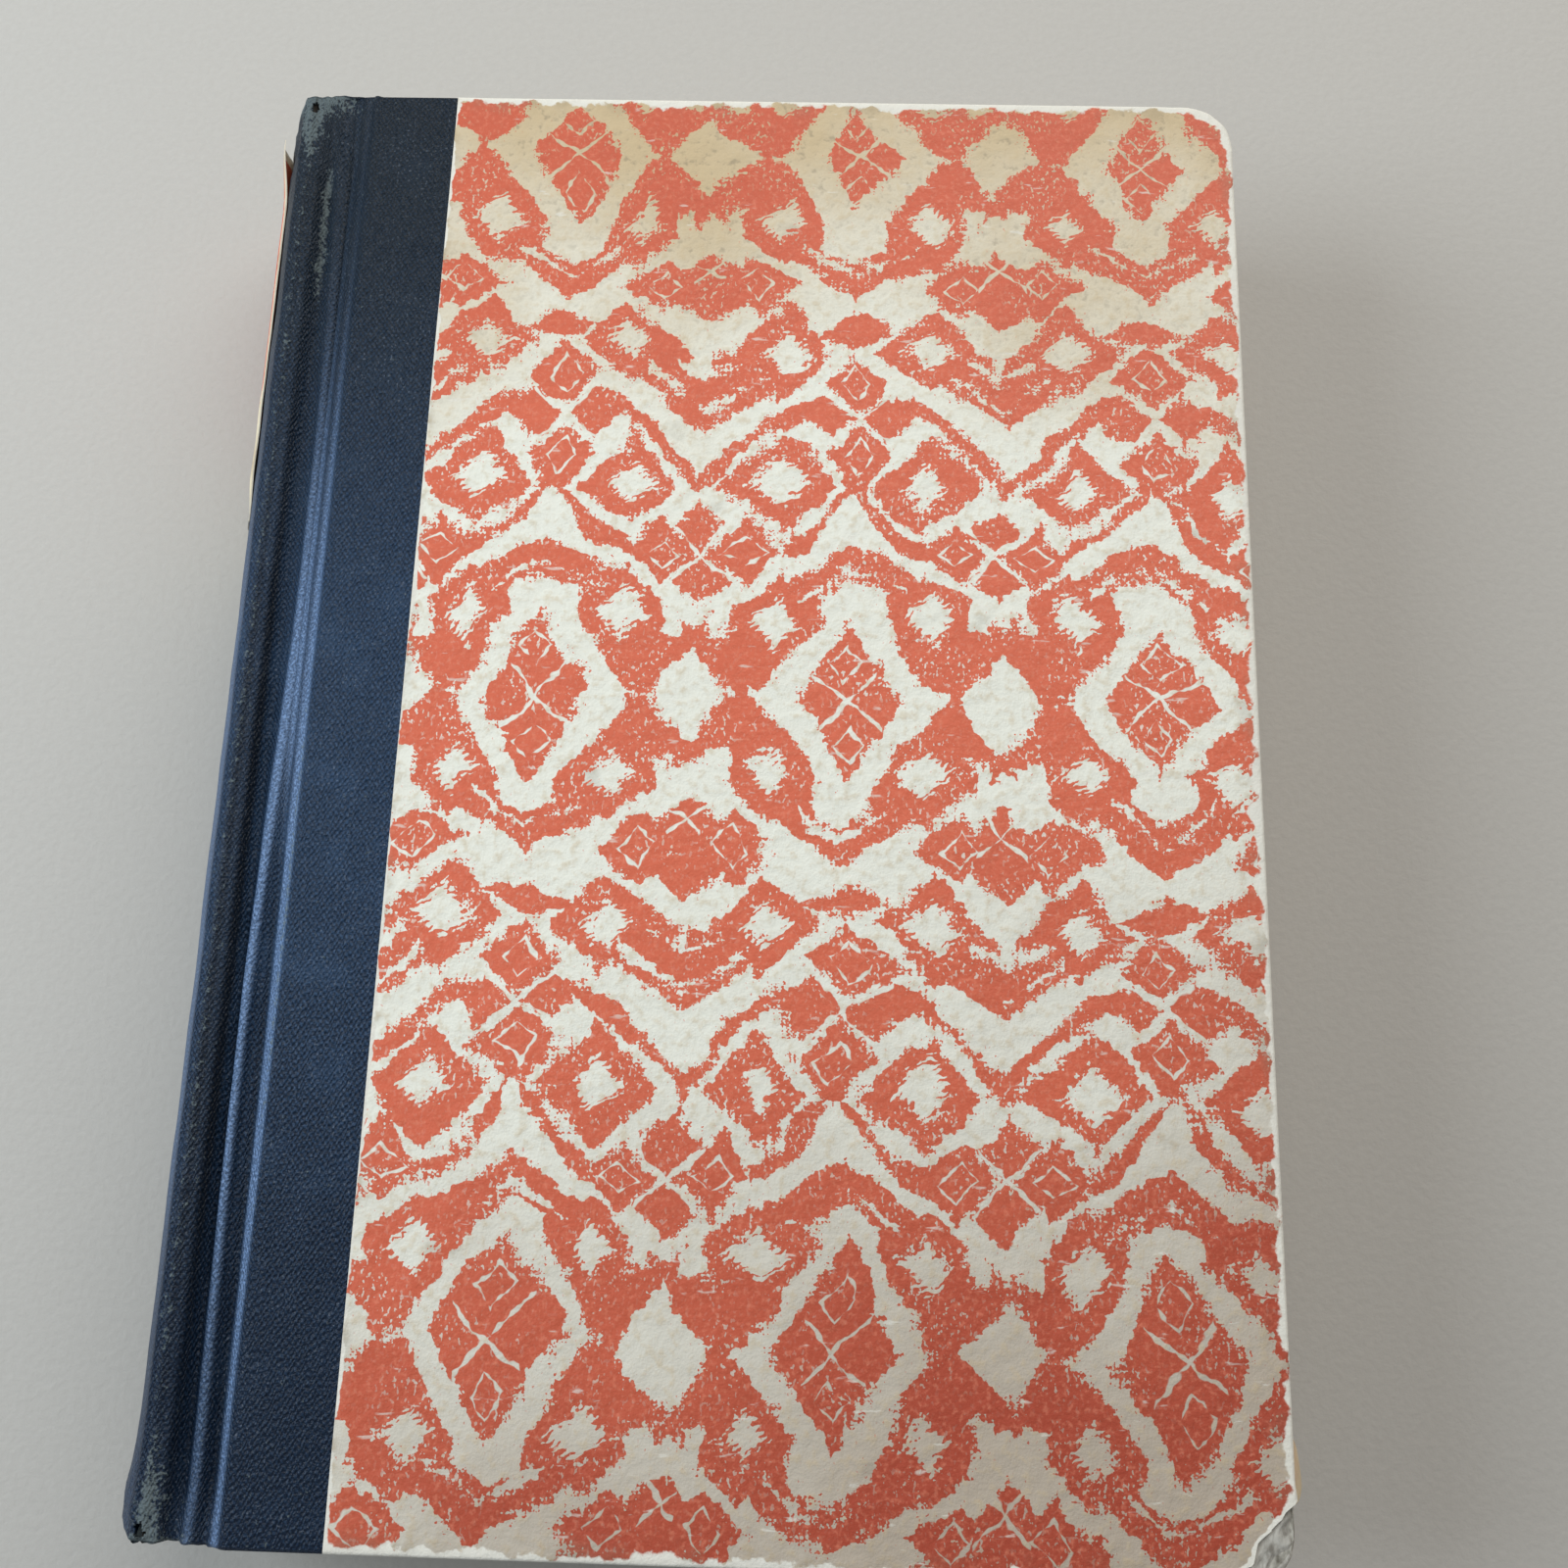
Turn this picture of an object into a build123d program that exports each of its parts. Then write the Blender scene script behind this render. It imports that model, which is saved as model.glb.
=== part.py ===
from build123d import *

import os
from math import asin, cos, degrees, radians, sin, sqrt, tan
from typing import NamedTuple

os.makedirs("parts", exist_ok=True)

# A quarter-bound hardback book that lies on its rear cover, front cover up.
# +X runs from the spine to the fore-edge, +Y from the tail to the head, +Z up.
# The origin is under the middle of the book, on the surface that it lies on.

# Covers
cover_height = 210.0  # head to tail over a covered board
cover_width = 135.3  # joint edge to fore-edge over a covered board
board_thickness = 2.4
board_land = 0.7  # square part of the joint edge, under its worn slope
cloth_thickness = 0.35
paper_thickness = 0.15
endpaper_thickness = 0.15
cloth_side = 14.9  # cloth that shows on a board beside the printed paper
paper_lap = 3.0  # printed paper that lies over the cloth
turn_in = 15.0  # covering folded over onto the inside of a board
paper_round = 0.4  # rounding of the printed paper over the outer edges
pastedown_margin = 3.0  # covering that shows round a pastedown
cover_gap = 0.3  # air between a pastedown and its flyleaf

# Pages
block_thickness = 26.0
square = 3.2  # how far the boards stand out beyond the pages
fore_edge_hollow = 4.0  # depth of the concave fore-edge

# Spine and joints
spine_rounding = 5.0  # how far the back of the pages swells out
shoulder_height = 2.3  # how far the backed folds stand over the pages
shoulder_width = 1.8
shoulder_ease = 0.12  # air between the folds and the cloth over them
crest_radius = 0.9  # bend of the cloth over the shoulder, on its inside
joint_width = 6.1  # shoulder of the pages to the covered edge of the board
joint_slit = 0.3  # air between the groove cloth and the covered board
groove_bend = 0.9  # bends of the groove cloth
ridge_height = 0.95  # fold that stands up along the middle of the groove
ridge_margin = 0.9  # flat cloth between that fold and the board
mull_thickness = 0.3
lining_thickness = 0.25
lining_inset = 6.0  # gauze and lining stop short of the head and the tail
hollow_gap = 0.3  # air between the lining and the cloth turned in behind the inlay
inlay_thickness = 0.8
spine_turn_in = 14.0  # spine cloth folded in over the ends of the inlay

# Bands at the ends of the back
band_width = 1.8
band_height = 2.0
band_inset = 1.5  # stops short of the shoulders

# Label round the spine
label_height = 66.0
label_drop = 4.0  # below the head of the spine
label_width = 23.0  # round the spine

# Wear
front_head_corner = 7.5  # rubbed round
front_tail_corner = 6.0
rear_corner = 4.0
tear_width = 7.0  # paper torn off the front tail corner
tear_height = 9.5

# Largest share of a run or a wall that a bend or a rounding on it may take
bend_share = 0.45

# Thicknesses and heights that follow
cover_build = cloth_thickness + paper_thickness
board_height = cover_height - 2 * cover_build
cover_thickness = board_thickness + 2 * cover_build + endpaper_thickness
block_height = cover_height - 2 * square
half_block = block_thickness / 2
flyleaf_level = half_block + endpaper_thickness
board_level = flyleaf_level + cover_gap + endpaper_thickness + cover_build
half_book = flyleaf_level + cover_gap + cover_thickness

# Radii of the layers round the back of the pages
back_half = half_block + shoulder_height
back_radius = (back_half**2 + spine_rounding**2) / (2 * spine_rounding)
back_angle = degrees(asin(back_half / back_radius))
mull_radius = back_radius + mull_thickness
lining_radius = mull_radius + lining_thickness
inlay_inside = lining_radius + hollow_gap + cloth_thickness
inlay_outside = inlay_inside + inlay_thickness
spine_radius = inlay_outside + cloth_thickness
label_radius = spine_radius + paper_thickness

# Places along X
spine_reach = spine_rounding + label_radius - back_radius
book_width = spine_reach + joint_width + cover_width
fore_edge_x = book_width / 2
back_x = spine_reach - book_width / 2
cover_edge_x = back_x + joint_width
board_edge_x = cover_edge_x + cloth_thickness
board_end_x = fore_edge_x - cover_build
paper_edge_x = cover_edge_x + cloth_side
cloth_end_x = paper_edge_x + paper_lap
page_edge_x = fore_edge_x - square
shoulder_foot_x = back_x + shoulder_width
arc_x = back_x - spine_rounding + back_radius

# Cross-section through the middle of the book, seen from the tail
section = Plane((0, 0, half_book), x_dir=(1, 0, 0), z_dir=(0, -1, 0))


def round_back(radius: float, angle: float) -> Vector:
    """A point of the cross-section at a radius and a rise from the centre of the rounded back."""
    return Vector(arc_x - radius * cos(radians(angle)), radius * sin(radians(angle)))


def arc_band(inside: float, outside: float, angle: float) -> Sketch:
    """A band of the cross-section between two radii, as far up and down as the angle."""
    with BuildSketch() as band:
        with BuildLine():
            inner = CenterArc((arc_x, 0), inside, 180 - angle, 2 * angle)
            outer = CenterArc((arc_x, 0), outside, 180 - angle, 2 * angle)
            Line(inner @ 0, outer @ 0)
            Line(inner @ 1, outer @ 1)
        make_face()
    return band.sketch


def fold_radii(points: list[Vector], largest: float) -> list[float]:
    """A bend for each corner of a path, no larger than its shorter run has room for."""
    radii = []
    for before, corner, after in zip(points, points[1:], points[2:]):
        arriving = corner - before
        leaving = after - corner
        half_turn = radians(arriving.get_angle(leaving)) / 2
        room = bend_share * min(arriving.length, leaving.length) / tan(half_turn)
        radii.append(min(largest, room))
    return radii


def finish(piece: BuildPart, name: str) -> None:
    """Label a piece and write it out."""
    piece.part.label = name
    export_step(piece.part, f"parts/{name}.step")


# Pages: a swelled back with shoulders, and a hollow fore-edge to match
with BuildPart() as text_block:
    with BuildSketch(section):
        with BuildLine():
            top = Line((page_edge_x, half_block), (shoulder_foot_x, half_block))
            TangentArc(top @ 1, (back_x, back_half), tangent=top % 1)
            mirror(about=Plane.XZ)
            ThreePointArc((back_x, back_half), (back_x - spine_rounding, 0), (back_x, -back_half))
            hollow = (page_edge_x - fore_edge_hollow, 0)
            ThreePointArc((page_edge_x, half_block), hollow, (page_edge_x, -half_block))
        make_face()
    extrude(amount=block_height / 2, both=True)
finish(text_block, "text_block")

# Free endpapers on the first and the last page
for name, side in (("front_flyleaf", 1), ("rear_flyleaf", -1)):
    with BuildPart() as flyleaf:
        with BuildSketch(section):
            with Locations(((shoulder_foot_x + page_edge_x) / 2, side * (flyleaf_level + half_block) / 2)):
                Rectangle(page_edge_x - shoulder_foot_x, endpaper_thickness)
        extrude(amount=block_height / 2, both=True)
    finish(flyleaf, name)

# Woven bands that stand on the ends of the pages, along the back
band_angle = back_angle - degrees(band_inset / back_radius)
for name, end in (("head_band", 1), ("tail_band", -1)):
    with BuildPart() as band:
        with BuildSketch(section.offset(-end * block_height / 2)):
            add(arc_band(back_radius - band_width, back_radius, band_angle))
        extrude(amount=-end * band_height)
        outer_face = band.faces().sort_by(Axis.Y)[-1 if end > 0 else 0]
        fillet(outer_face.edges(), radius=bend_share * min(band_width, band_height))
    finish(band, name)

# Gauze, then lining paper, glued to the back
for name, inside, outside in (
    ("spine_mull", back_radius, mull_radius),
    ("spine_lining", mull_radius, lining_radius),
):
    with BuildPart() as layer:
        with BuildSketch(section):
            add(arc_band(inside, outside, back_angle))
        extrude(amount=block_height / 2 - lining_inset, both=True)
    finish(layer, name)

# Card strip inside the spine cloth, clear of the bend over the shoulders
shoulder_angle = back_angle + degrees(shoulder_ease / back_radius)
bend_angle = degrees(asin(crest_radius / (inlay_outside - crest_radius)))
inlay_angle = shoulder_angle - bend_angle
with BuildPart() as spine_inlay:
    with BuildSketch(section):
        add(arc_band(inlay_inside, inlay_outside, inlay_angle))
    extrude(amount=cover_height / 2 - cloth_thickness, both=True)
finish(spine_inlay, "spine_inlay")

# Spine cloth: over the back and the shoulders and down into both grooves, with a fold along each
bend_end = round_back((inlay_outside - crest_radius) * cos(radians(bend_angle)), shoulder_angle)
groove_x = shoulder_foot_x + shoulder_ease + cloth_thickness / 2
groove_end_x = cover_edge_x - joint_slit
ridge_foot_x = groove_end_x - ridge_margin
groove_path = [
    bend_end,
    round_back(back_radius + shoulder_ease, shoulder_angle),
    Vector(groove_x, flyleaf_level),
    Vector((groove_x + ridge_foot_x) / 2, flyleaf_level + ridge_height),
    Vector(ridge_foot_x, flyleaf_level),
    Vector(groove_end_x, flyleaf_level),
]
with BuildPart() as spine_cloth:
    with BuildSketch(section):
        with BuildLine():
            back = CenterArc((arc_x, 0), inlay_outside, 180, -inlay_angle)
            TangentArc(back @ 1, bend_end, tangent=back % 1)
            FilletPolyline(*groove_path, radius=fold_radii(groove_path, groove_bend))
            mirror(about=Plane.XZ)
            offset(amount=cloth_thickness, side=Side.LEFT)
        make_face()
    extrude(amount=cover_height / 2, both=True)
    for end in (1, -1):
        with BuildSketch(section.offset(-end * cover_height / 2)):
            add(arc_band(inlay_inside - cloth_thickness, inlay_outside, inlay_angle))
        extrude(amount=end * cloth_thickness)
        with BuildSketch(section.offset(-end * cover_height / 2)):
            add(arc_band(inlay_inside - cloth_thickness, inlay_inside, inlay_angle))
        extrude(amount=end * spine_turn_in)
finish(spine_cloth, "spine_cloth")

# Paper label pasted round the spine near its head
label_angle = degrees(label_width / 2 / label_radius)
with BuildPart() as spine_label:
    with BuildSketch(section.offset(label_drop - cover_height / 2)):
        add(arc_band(spine_radius, label_radius, label_angle))
    extrude(amount=label_height)
finish(spine_label, "spine_label")


class Cover(NamedTuple):
    """One cover: which side of the pages it lies on, and its wear."""

    name: str
    side: int  # 1 on top, -1 below
    head_corner: float
    tail_corner: float
    torn: bool


covers = (
    Cover("front", 1, front_head_corner, front_tail_corner, True),
    Cover("rear", -1, rear_corner, rear_corner, False),
)


def sheet(left: float, right: float, half_height: float) -> Sketch:
    """A plain rectangle on a board, centred between head and tail."""
    with BuildSketch() as outline:
        with Locations(((left + right) / 2, 0)):
            Rectangle(right - left, 2 * half_height)
    return outline.sketch


def worn_sheet(cover: Cover, left: float, margin: float) -> Sketch:
    """An outline that stands out by a margin past the board, with the cover's rubbed corners."""
    half_height = board_height / 2 + margin
    with BuildSketch() as outline:
        add(sheet(left, board_end_x + margin, half_height))
        for end, radius in ((cover.side, cover.head_corner), (-cover.side, cover.tail_corner)):
            corner = (board_end_x + margin, end * half_height, 0)
            fillet(outline.vertices().sort_by_distance(corner)[0], radius=radius + margin)
    return outline.sketch


def joint_profile(wrap: float) -> Sketch:
    """The joint edge of a board in cross-section, grown by a wrap, with its worn slope."""
    slope = (sqrt(2) - 1) * wrap
    with BuildSketch() as profile:
        with BuildLine():
            Polyline(
                (board_edge_x - wrap, -wrap),
                (board_edge_x - wrap, board_land + slope),
                (board_edge_x + board_thickness - board_land - slope, board_thickness + wrap),
                (cloth_end_x, board_thickness + wrap),
                (cloth_end_x, -wrap),
                close=True,
            )
        make_face()
    return profile.sketch


for cover in covers:
    # The inside of the board, facing out, and the cross-section through it
    inside = Plane((0, 0, half_book + cover.side * board_level), x_dir=(1, 0, 0), z_dir=(0, 0, cover.side))
    across = Plane(inside.origin, x_dir=(1, 0, 0), z_dir=(0, -cover.side, 0))

    # Pasteboard, sloped along the joint
    with BuildPart() as board:
        with BuildSketch(across):
            add(joint_profile(0))
        extrude(amount=board_height / 2, both=True)
        with BuildSketch(inside):
            add(worn_sheet(cover, cloth_end_x, 0))
        extrude(amount=board_thickness)
    finish(board, f"{cover.name}_board")

    # Cloth over the joint edge, turned in at the head and the tail
    with BuildPart() as cloth:
        with BuildSketch(across):
            add(joint_profile(cloth_thickness))
        extrude(amount=board_height / 2 + cloth_thickness, both=True)
        with BuildSketch(across):
            add(joint_profile(0))
        extrude(amount=board_height / 2, both=True, mode=Mode.SUBTRACT)
        with BuildSketch(inside):
            add(sheet(cover_edge_x, cloth_end_x, board_height / 2 - turn_in))
        extrude(amount=-cloth_thickness, mode=Mode.SUBTRACT)
    finish(cloth, f"{cover.name}_cloth")

    # Printed paper over the rest and a little of the cloth, turned in on three edges
    with BuildPart() as side_paper:
        with BuildSketch(inside.offset(-cover_build)):
            add(worn_sheet(cover, paper_edge_x, cover_build))
        extrude(amount=board_thickness + 2 * cover_build)
        outer_face = side_paper.faces().sort_by(Axis.Z)[-1 if cover.side > 0 else 0]
        fillet(outer_face.edges().sort_by(Axis.X)[1:], radius=paper_round)
        with BuildSketch(inside):
            add(worn_sheet(cover, paper_edge_x, 0))
        extrude(amount=board_thickness, mode=Mode.SUBTRACT)
        with BuildSketch(inside.offset(-cloth_thickness)):
            add(sheet(paper_edge_x, cloth_end_x, board_height / 2 + cloth_thickness))
        extrude(amount=board_thickness + 2 * cloth_thickness, mode=Mode.SUBTRACT)
        with BuildSketch(inside):
            add(sheet(paper_edge_x, board_end_x - turn_in, board_height / 2 - turn_in))
        extrude(amount=-cover_build, mode=Mode.SUBTRACT)
        if cover.torn:
            tail = -cover.side * cover_height / 2
            with BuildSketch(inside):
                with BuildLine():
                    Polyline(
                        (fore_edge_x, tail),
                        (fore_edge_x - tear_width, tail),
                        (fore_edge_x, tail + cover.side * tear_height),
                        close=True,
                    )
                make_face()
            extrude(amount=board_thickness + cover_build, mode=Mode.SUBTRACT)
    finish(side_paper, f"{cover.name}_side_paper")

    # Endpaper leaf pasted over the turn-ins, bedded down onto the board between them
    with BuildPart() as pastedown:
        with BuildSketch(inside.offset(-cover_build)):
            add(sheet(cover_edge_x, board_end_x - pastedown_margin, board_height / 2 - pastedown_margin))
        extrude(amount=-endpaper_thickness)
        with BuildSketch(inside):
            add(sheet(board_edge_x, board_end_x - turn_in, board_height / 2 - turn_in))
        extrude(amount=-cover_build)
    finish(pastedown, f"{cover.name}_pastedown")
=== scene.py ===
"""A worn quarter-bound hardback book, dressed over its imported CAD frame.

Sizes are millimetres in the frame of the CAD part: +X from the spine to the fore-edge, +Y from the tail to
the head, +Z up, with the book lying on its rear cover. Meshes are written in metres.
"""

import logging
import math
from contextlib import contextmanager
from dataclasses import dataclass
from enum import Enum
from typing import Callable, Iterator, Union

import bmesh
import bpy
import numpy as np
from mathutils import Matrix, Vector, noise


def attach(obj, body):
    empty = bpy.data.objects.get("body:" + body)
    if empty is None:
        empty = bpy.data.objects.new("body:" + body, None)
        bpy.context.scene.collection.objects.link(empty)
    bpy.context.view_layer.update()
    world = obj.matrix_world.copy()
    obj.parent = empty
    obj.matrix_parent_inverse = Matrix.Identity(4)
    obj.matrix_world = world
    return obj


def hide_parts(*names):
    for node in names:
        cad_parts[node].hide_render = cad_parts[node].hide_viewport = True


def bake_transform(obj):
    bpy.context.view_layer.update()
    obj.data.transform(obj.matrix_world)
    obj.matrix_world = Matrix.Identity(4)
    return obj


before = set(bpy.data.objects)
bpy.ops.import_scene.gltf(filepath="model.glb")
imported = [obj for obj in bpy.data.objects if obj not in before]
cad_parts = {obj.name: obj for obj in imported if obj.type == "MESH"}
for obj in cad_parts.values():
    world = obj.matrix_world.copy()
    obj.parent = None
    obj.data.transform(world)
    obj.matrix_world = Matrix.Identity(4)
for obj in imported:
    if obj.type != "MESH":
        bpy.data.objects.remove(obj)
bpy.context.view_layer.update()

log = logging.getLogger("book")

MM = 0.001
CLOSE = 0.01  # places within this many millimetres are the same

Colour = tuple[float, float, float, float]
Triple = tuple[float, float, float]
Test = Callable[[Vector], bool]


def srgb(red: int, green: int, blue: int) -> Colour:
    """A colour as it looks on a screen, 0 to 255, as the linear colour that a socket takes.

    Args:
        red: The red share.
        green: The green share.
        blue: The blue share.

    Returns:
        Linear red, green and blue, and an alpha of one.
    """
    shares = (share / 255 for share in (red, green, blue))
    return (*(s / 12.92 if s <= 0.04045 else ((s + 0.055) / 1.055) ** 2.4 for s in shares), 1.0)


BACKDROP: Colour = srgb(186, 185, 182)


class Body(Enum):
    """The moving bodies of the book."""

    BLOCK = "book_block"
    FRONT = "front_cover"
    REAR = "rear_cover"


class Slot(Enum):
    """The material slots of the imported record."""

    PAGES = "pages"
    PASTEBOARD = "pasteboard"
    CLOTH = "book_cloth"
    PRINT = "printed_paper"
    LABEL = "label_paper"
    ENDPAPER = "endpaper"


class Element(Enum):
    """What an edit-mode selection is made of."""

    EDGE = "EDGE"
    FACE = "FACE"


def take(piece: bpy.types.Object) -> None:
    """Make one piece the only selected and the active one.

    Args:
        piece: The object.
    """
    bpy.ops.object.select_all(action="DESELECT")
    piece.select_set(True)
    bpy.context.view_layer.objects.active = piece


@contextmanager
def editing(piece: bpy.types.Object, element: Element = Element.FACE) -> Iterator[None]:
    """Edit mode on one piece, with nothing selected.

    Args:
        piece: The mesh object to edit.
        element: What is selected while editing.

    Returns:
        A context in which the mesh operators act on that piece.
    """
    take(piece)
    bpy.ops.object.mode_set(mode="EDIT")
    bpy.ops.mesh.select_mode(type=element.value)
    bpy.ops.mesh.select_all(action="DESELECT")
    yield
    bpy.ops.object.mode_set(mode="OBJECT")


def pick(piece: bpy.types.Object, element: Element, test: Test) -> None:
    """Select, in edit mode, the edges or faces whose middle passes a test.

    Args:
        piece: The object in edit mode.
        element: Edges or faces.
        test: Takes the middle, in millimetres.
    """
    mesh = bmesh.from_edit_mesh(piece.data)
    if element is Element.FACE:
        for face in mesh.faces:
            face.select_set(test(face.calc_center_median() / MM))
    else:
        for edge in mesh.edges:
            edge.select_set(test((edge.verts[0].co + edge.verts[1].co) / 2 / MM))
    bmesh.update_edit_mesh(piece.data)


def add_grid(name: str, low: tuple[float, float], high: tuple[float, float], height: float,
             columns: int, rows: int) -> bpy.types.Object:
    """A flat grid, as a sheet is before it is folded.

    Args:
        name: The piece's name.
        low: Its lowest X and Y.
        high: Its highest X and Y.
        height: Its Z.
        columns: Faces along X.
        rows: Faces along Y.

    Returns:
        The sheet, with its place in its mesh.
    """
    bpy.ops.object.select_all(action="DESELECT")
    middle = ((a + b) / 2 * MM for a, b in zip(low, high))
    bpy.ops.mesh.primitive_grid_add(x_subdivisions=columns, y_subdivisions=rows, size=1,
                                    location=(*middle, height * MM))
    piece = bpy.context.active_object
    piece.name = piece.data.name = name
    piece.scale = ((high[0] - low[0]) * MM, (high[1] - low[1]) * MM, 1)
    bpy.ops.object.transform_apply(location=True, rotation=False, scale=True)
    return piece


def add_block(name: str, low: Triple, high: Triple) -> bpy.types.Object:
    """A block between two corners.

    Args:
        name: The piece's name.
        low: Its lowest corner.
        high: Its highest corner.

    Returns:
        The block, with its place in its mesh.
    """
    bpy.ops.object.select_all(action="DESELECT")
    bpy.ops.mesh.primitive_cube_add(size=1, location=[(a + b) / 2 * MM for a, b in zip(low, high)])
    piece = bpy.context.active_object
    piece.name = piece.data.name = name
    piece.scale = [(b - a) * MM for a, b in zip(low, high)]
    bpy.ops.object.transform_apply(location=True, rotation=False, scale=True)
    return piece


def turn_over(piece: bpy.types.Object) -> None:
    """Make the other face of a sheet its outer one.

    Args:
        piece: The sheet.
    """
    with editing(piece):
        bpy.ops.mesh.select_all(action="SELECT")
        bpy.ops.mesh.flip_normals()


def points_of(piece: bpy.types.Object) -> np.ndarray:
    """The piece's vertices in millimetres, one row each.

    Args:
        piece: The mesh object.

    Returns:
        A new array of points.
    """
    flat = np.empty(len(piece.data.vertices) * 3, np.float32)
    piece.data.vertices.foreach_get("co", flat)
    return flat.reshape(-1, 3).astype(float) / MM


def move_to(piece: bpy.types.Object, points: np.ndarray) -> None:
    """Set the piece's vertices, given in millimetres."""
    piece.data.vertices.foreach_set("co", (points * MM).astype(np.float32).ravel())
    piece.data.update()


def rows_of(*columns: np.ndarray) -> np.ndarray:
    """Columns side by side, one row for each point."""
    return np.stack(columns, axis=1)


def round_corner(points: np.ndarray, edge_x: float, edge_y: float, radius: float) -> None:
    """Push a square corner of a sheet at the fore-edge in onto a round outline.

    Args:
        points: The sheet's points, which are moved.
        edge_x: X of the fore-edge.
        edge_y: Y of the head or the tail.
        radius: The corner's radius.
    """
    end = math.copysign(1, edge_y)
    a = radius - (edge_x - points[:, 0])
    b = radius - end * (edge_y - points[:, 1])
    near = (a > 0) & (b > 0)
    share = np.maximum(a, b)[near] / np.hypot(a, b)[near]
    points[near, 0] = edge_x - radius + a[near] * share
    points[near, 1] = edge_y - end * (radius - b[near] * share)


def note(piece: bpy.types.Object, name: str, values: np.ndarray) -> None:
    """Keep a number or a vector at every vertex, for a finish to read.

    Args:
        piece: The mesh object.
        name: The attribute's name.
        values: One number or three per vertex.
    """
    kind, key = ("FLOAT", "value") if values.ndim == 1 else ("FLOAT_VECTOR", "vector")
    attribute = piece.data.attributes.new(name, kind, "POINT")
    attribute.data.foreach_set(key, values.astype(np.float32).ravel())


def apply_modifier(piece: bpy.types.Object, kind: str, **settings: object) -> None:
    """Add a modifier to a piece and apply it.

    Args:
        piece: The mesh object.
        kind: The modifier's type.
        settings: Its settings.
    """
    take(piece)
    modifier = piece.modifiers.new(kind.title(), kind)
    for key, value in settings.items():
        setattr(modifier, key, value)
    bpy.ops.object.modifier_apply(modifier=modifier.name)


def thicken(piece: bpy.types.Object, thickness: float) -> None:
    """Give a sheet its thickness, inwards from its outer face."""
    apply_modifier(piece, "SOLIDIFY", thickness=thickness * MM, offset=-1.0, use_even_offset=False)


def finish_piece(piece: bpy.types.Object, material: bpy.types.Material,
                 angle: float = 40.0) -> None:
    """Shade a piece smooth over soft bends, and give it its finish.

    Args:
        piece: The mesh object.
        material: Its finish.
        angle: Bends up to this many degrees are shaded smooth.
    """
    take(piece)
    bpy.ops.object.shade_smooth_by_angle(angle=math.radians(angle))
    piece.data.materials.clear()
    piece.data.materials.append(material)
    log.info("%s: %d faces", piece.name, len(piece.data.polygons))


def ripple(points: np.ndarray, size: float, shift: float = 0.0) -> np.ndarray:
    """Smooth seeded unevenness at each point.

    Args:
        points: Points in millimetres, one row each.
        size: How far apart its swells are.
        shift: Moves it, for another draw.

    Returns:
        A number from about -1 to 1 for each point.
    """
    return np.array([noise.noise(Vector(p) / size + Vector((shift, -shift, shift))) for p in points])


def ease(value: np.ndarray, low: float, high: float) -> np.ndarray:
    """Rises smoothly from 0 at low to 1 at high; falls where low is the larger."""
    share = np.clip((value - low) / (high - low), 0.0, 1.0)
    return share * share * (3 - 2 * share)


def bell(value: np.ndarray, middle: float, width: float | np.ndarray) -> np.ndarray:
    """1 at the middle, and falls off smoothly over a width to each side."""
    return np.exp(-(((value - middle) / width) ** 2))


Number = Union["Value", float]


class Value:
    """A number that varies over a surface: a socket that takes Python's operators."""

    def __init__(self, graph: "Graph", socket: bpy.types.NodeSocket) -> None:
        """Wrap an output socket of a graph."""
        self.graph = graph
        self.socket = socket

    def _math(self, operation: str, *terms: Number) -> "Value":
        """Add a Math node on the given terms."""
        made = self.graph.node("ShaderNodeMath", {"operation": operation}, dict(enumerate(terms)))
        return Value(self.graph, made.outputs[0])

    def __add__(self, other: Number) -> "Value":
        """self + other"""
        return self._math("ADD", self, other)

    __radd__ = __add__

    def __sub__(self, other: Number) -> "Value":
        """self - other"""
        return self._math("SUBTRACT", self, other)

    def __rsub__(self, other: Number) -> "Value":
        """other - self"""
        return self._math("SUBTRACT", other, self)

    def __mul__(self, other: Number) -> "Value":
        """self * other"""
        return self._math("MULTIPLY", self, other)

    __rmul__ = __mul__

    def __truediv__(self, other: Number) -> "Value":
        """self / other"""
        return self._math("DIVIDE", self, other)

    def __pow__(self, other: Number) -> "Value":
        """self ** other"""
        return self._math("POWER", self, other)

    def __neg__(self) -> "Value":
        """-self"""
        return self._math("MULTIPLY", self, -1.0)

    def __abs__(self) -> "Value":
        """abs(self)"""
        return self._math("ABSOLUTE", self)

    def least(self, other: Number) -> "Value":
        """The smaller of two."""
        return self._math("MINIMUM", self, other)

    def most(self, other: Number) -> "Value":
        """The larger of two."""
        return self._math("MAXIMUM", self, other)

    def sine(self) -> "Value":
        """The sine of an angle in radians."""
        return self._math("SINE", self)

    def folded(self, length: float) -> "Value":
        """Back and forth between 0 and a length."""
        return self._math("PINGPONG", self, length)

    def repeated(self, length: float) -> "Value":
        """From 0 to a length, over and over."""
        return self._math("WRAP", self, length, 0.0)

    def over(self, edge: float) -> "Value":
        """1 above an edge and 0 below it."""
        return self._math("GREATER_THAN", self, edge)

    def ease(self, low: float, high: float) -> "Value":
        """Rises smoothly from 0 at low to 1 at high; falls where low is the larger.

        Args:
            low: Where it is 0.
            high: Where it is 1.

        Returns:
            The eased value.
        """
        made = self.graph.node("ShaderNodeMapRange", {"interpolation_type": "SMOOTHSTEP"},
                               {"Value": self, "From Min": low, "From Max": high})
        return Value(self.graph, made.outputs[0])


Tint = Union[bpy.types.NodeSocket, Colour]


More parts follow.
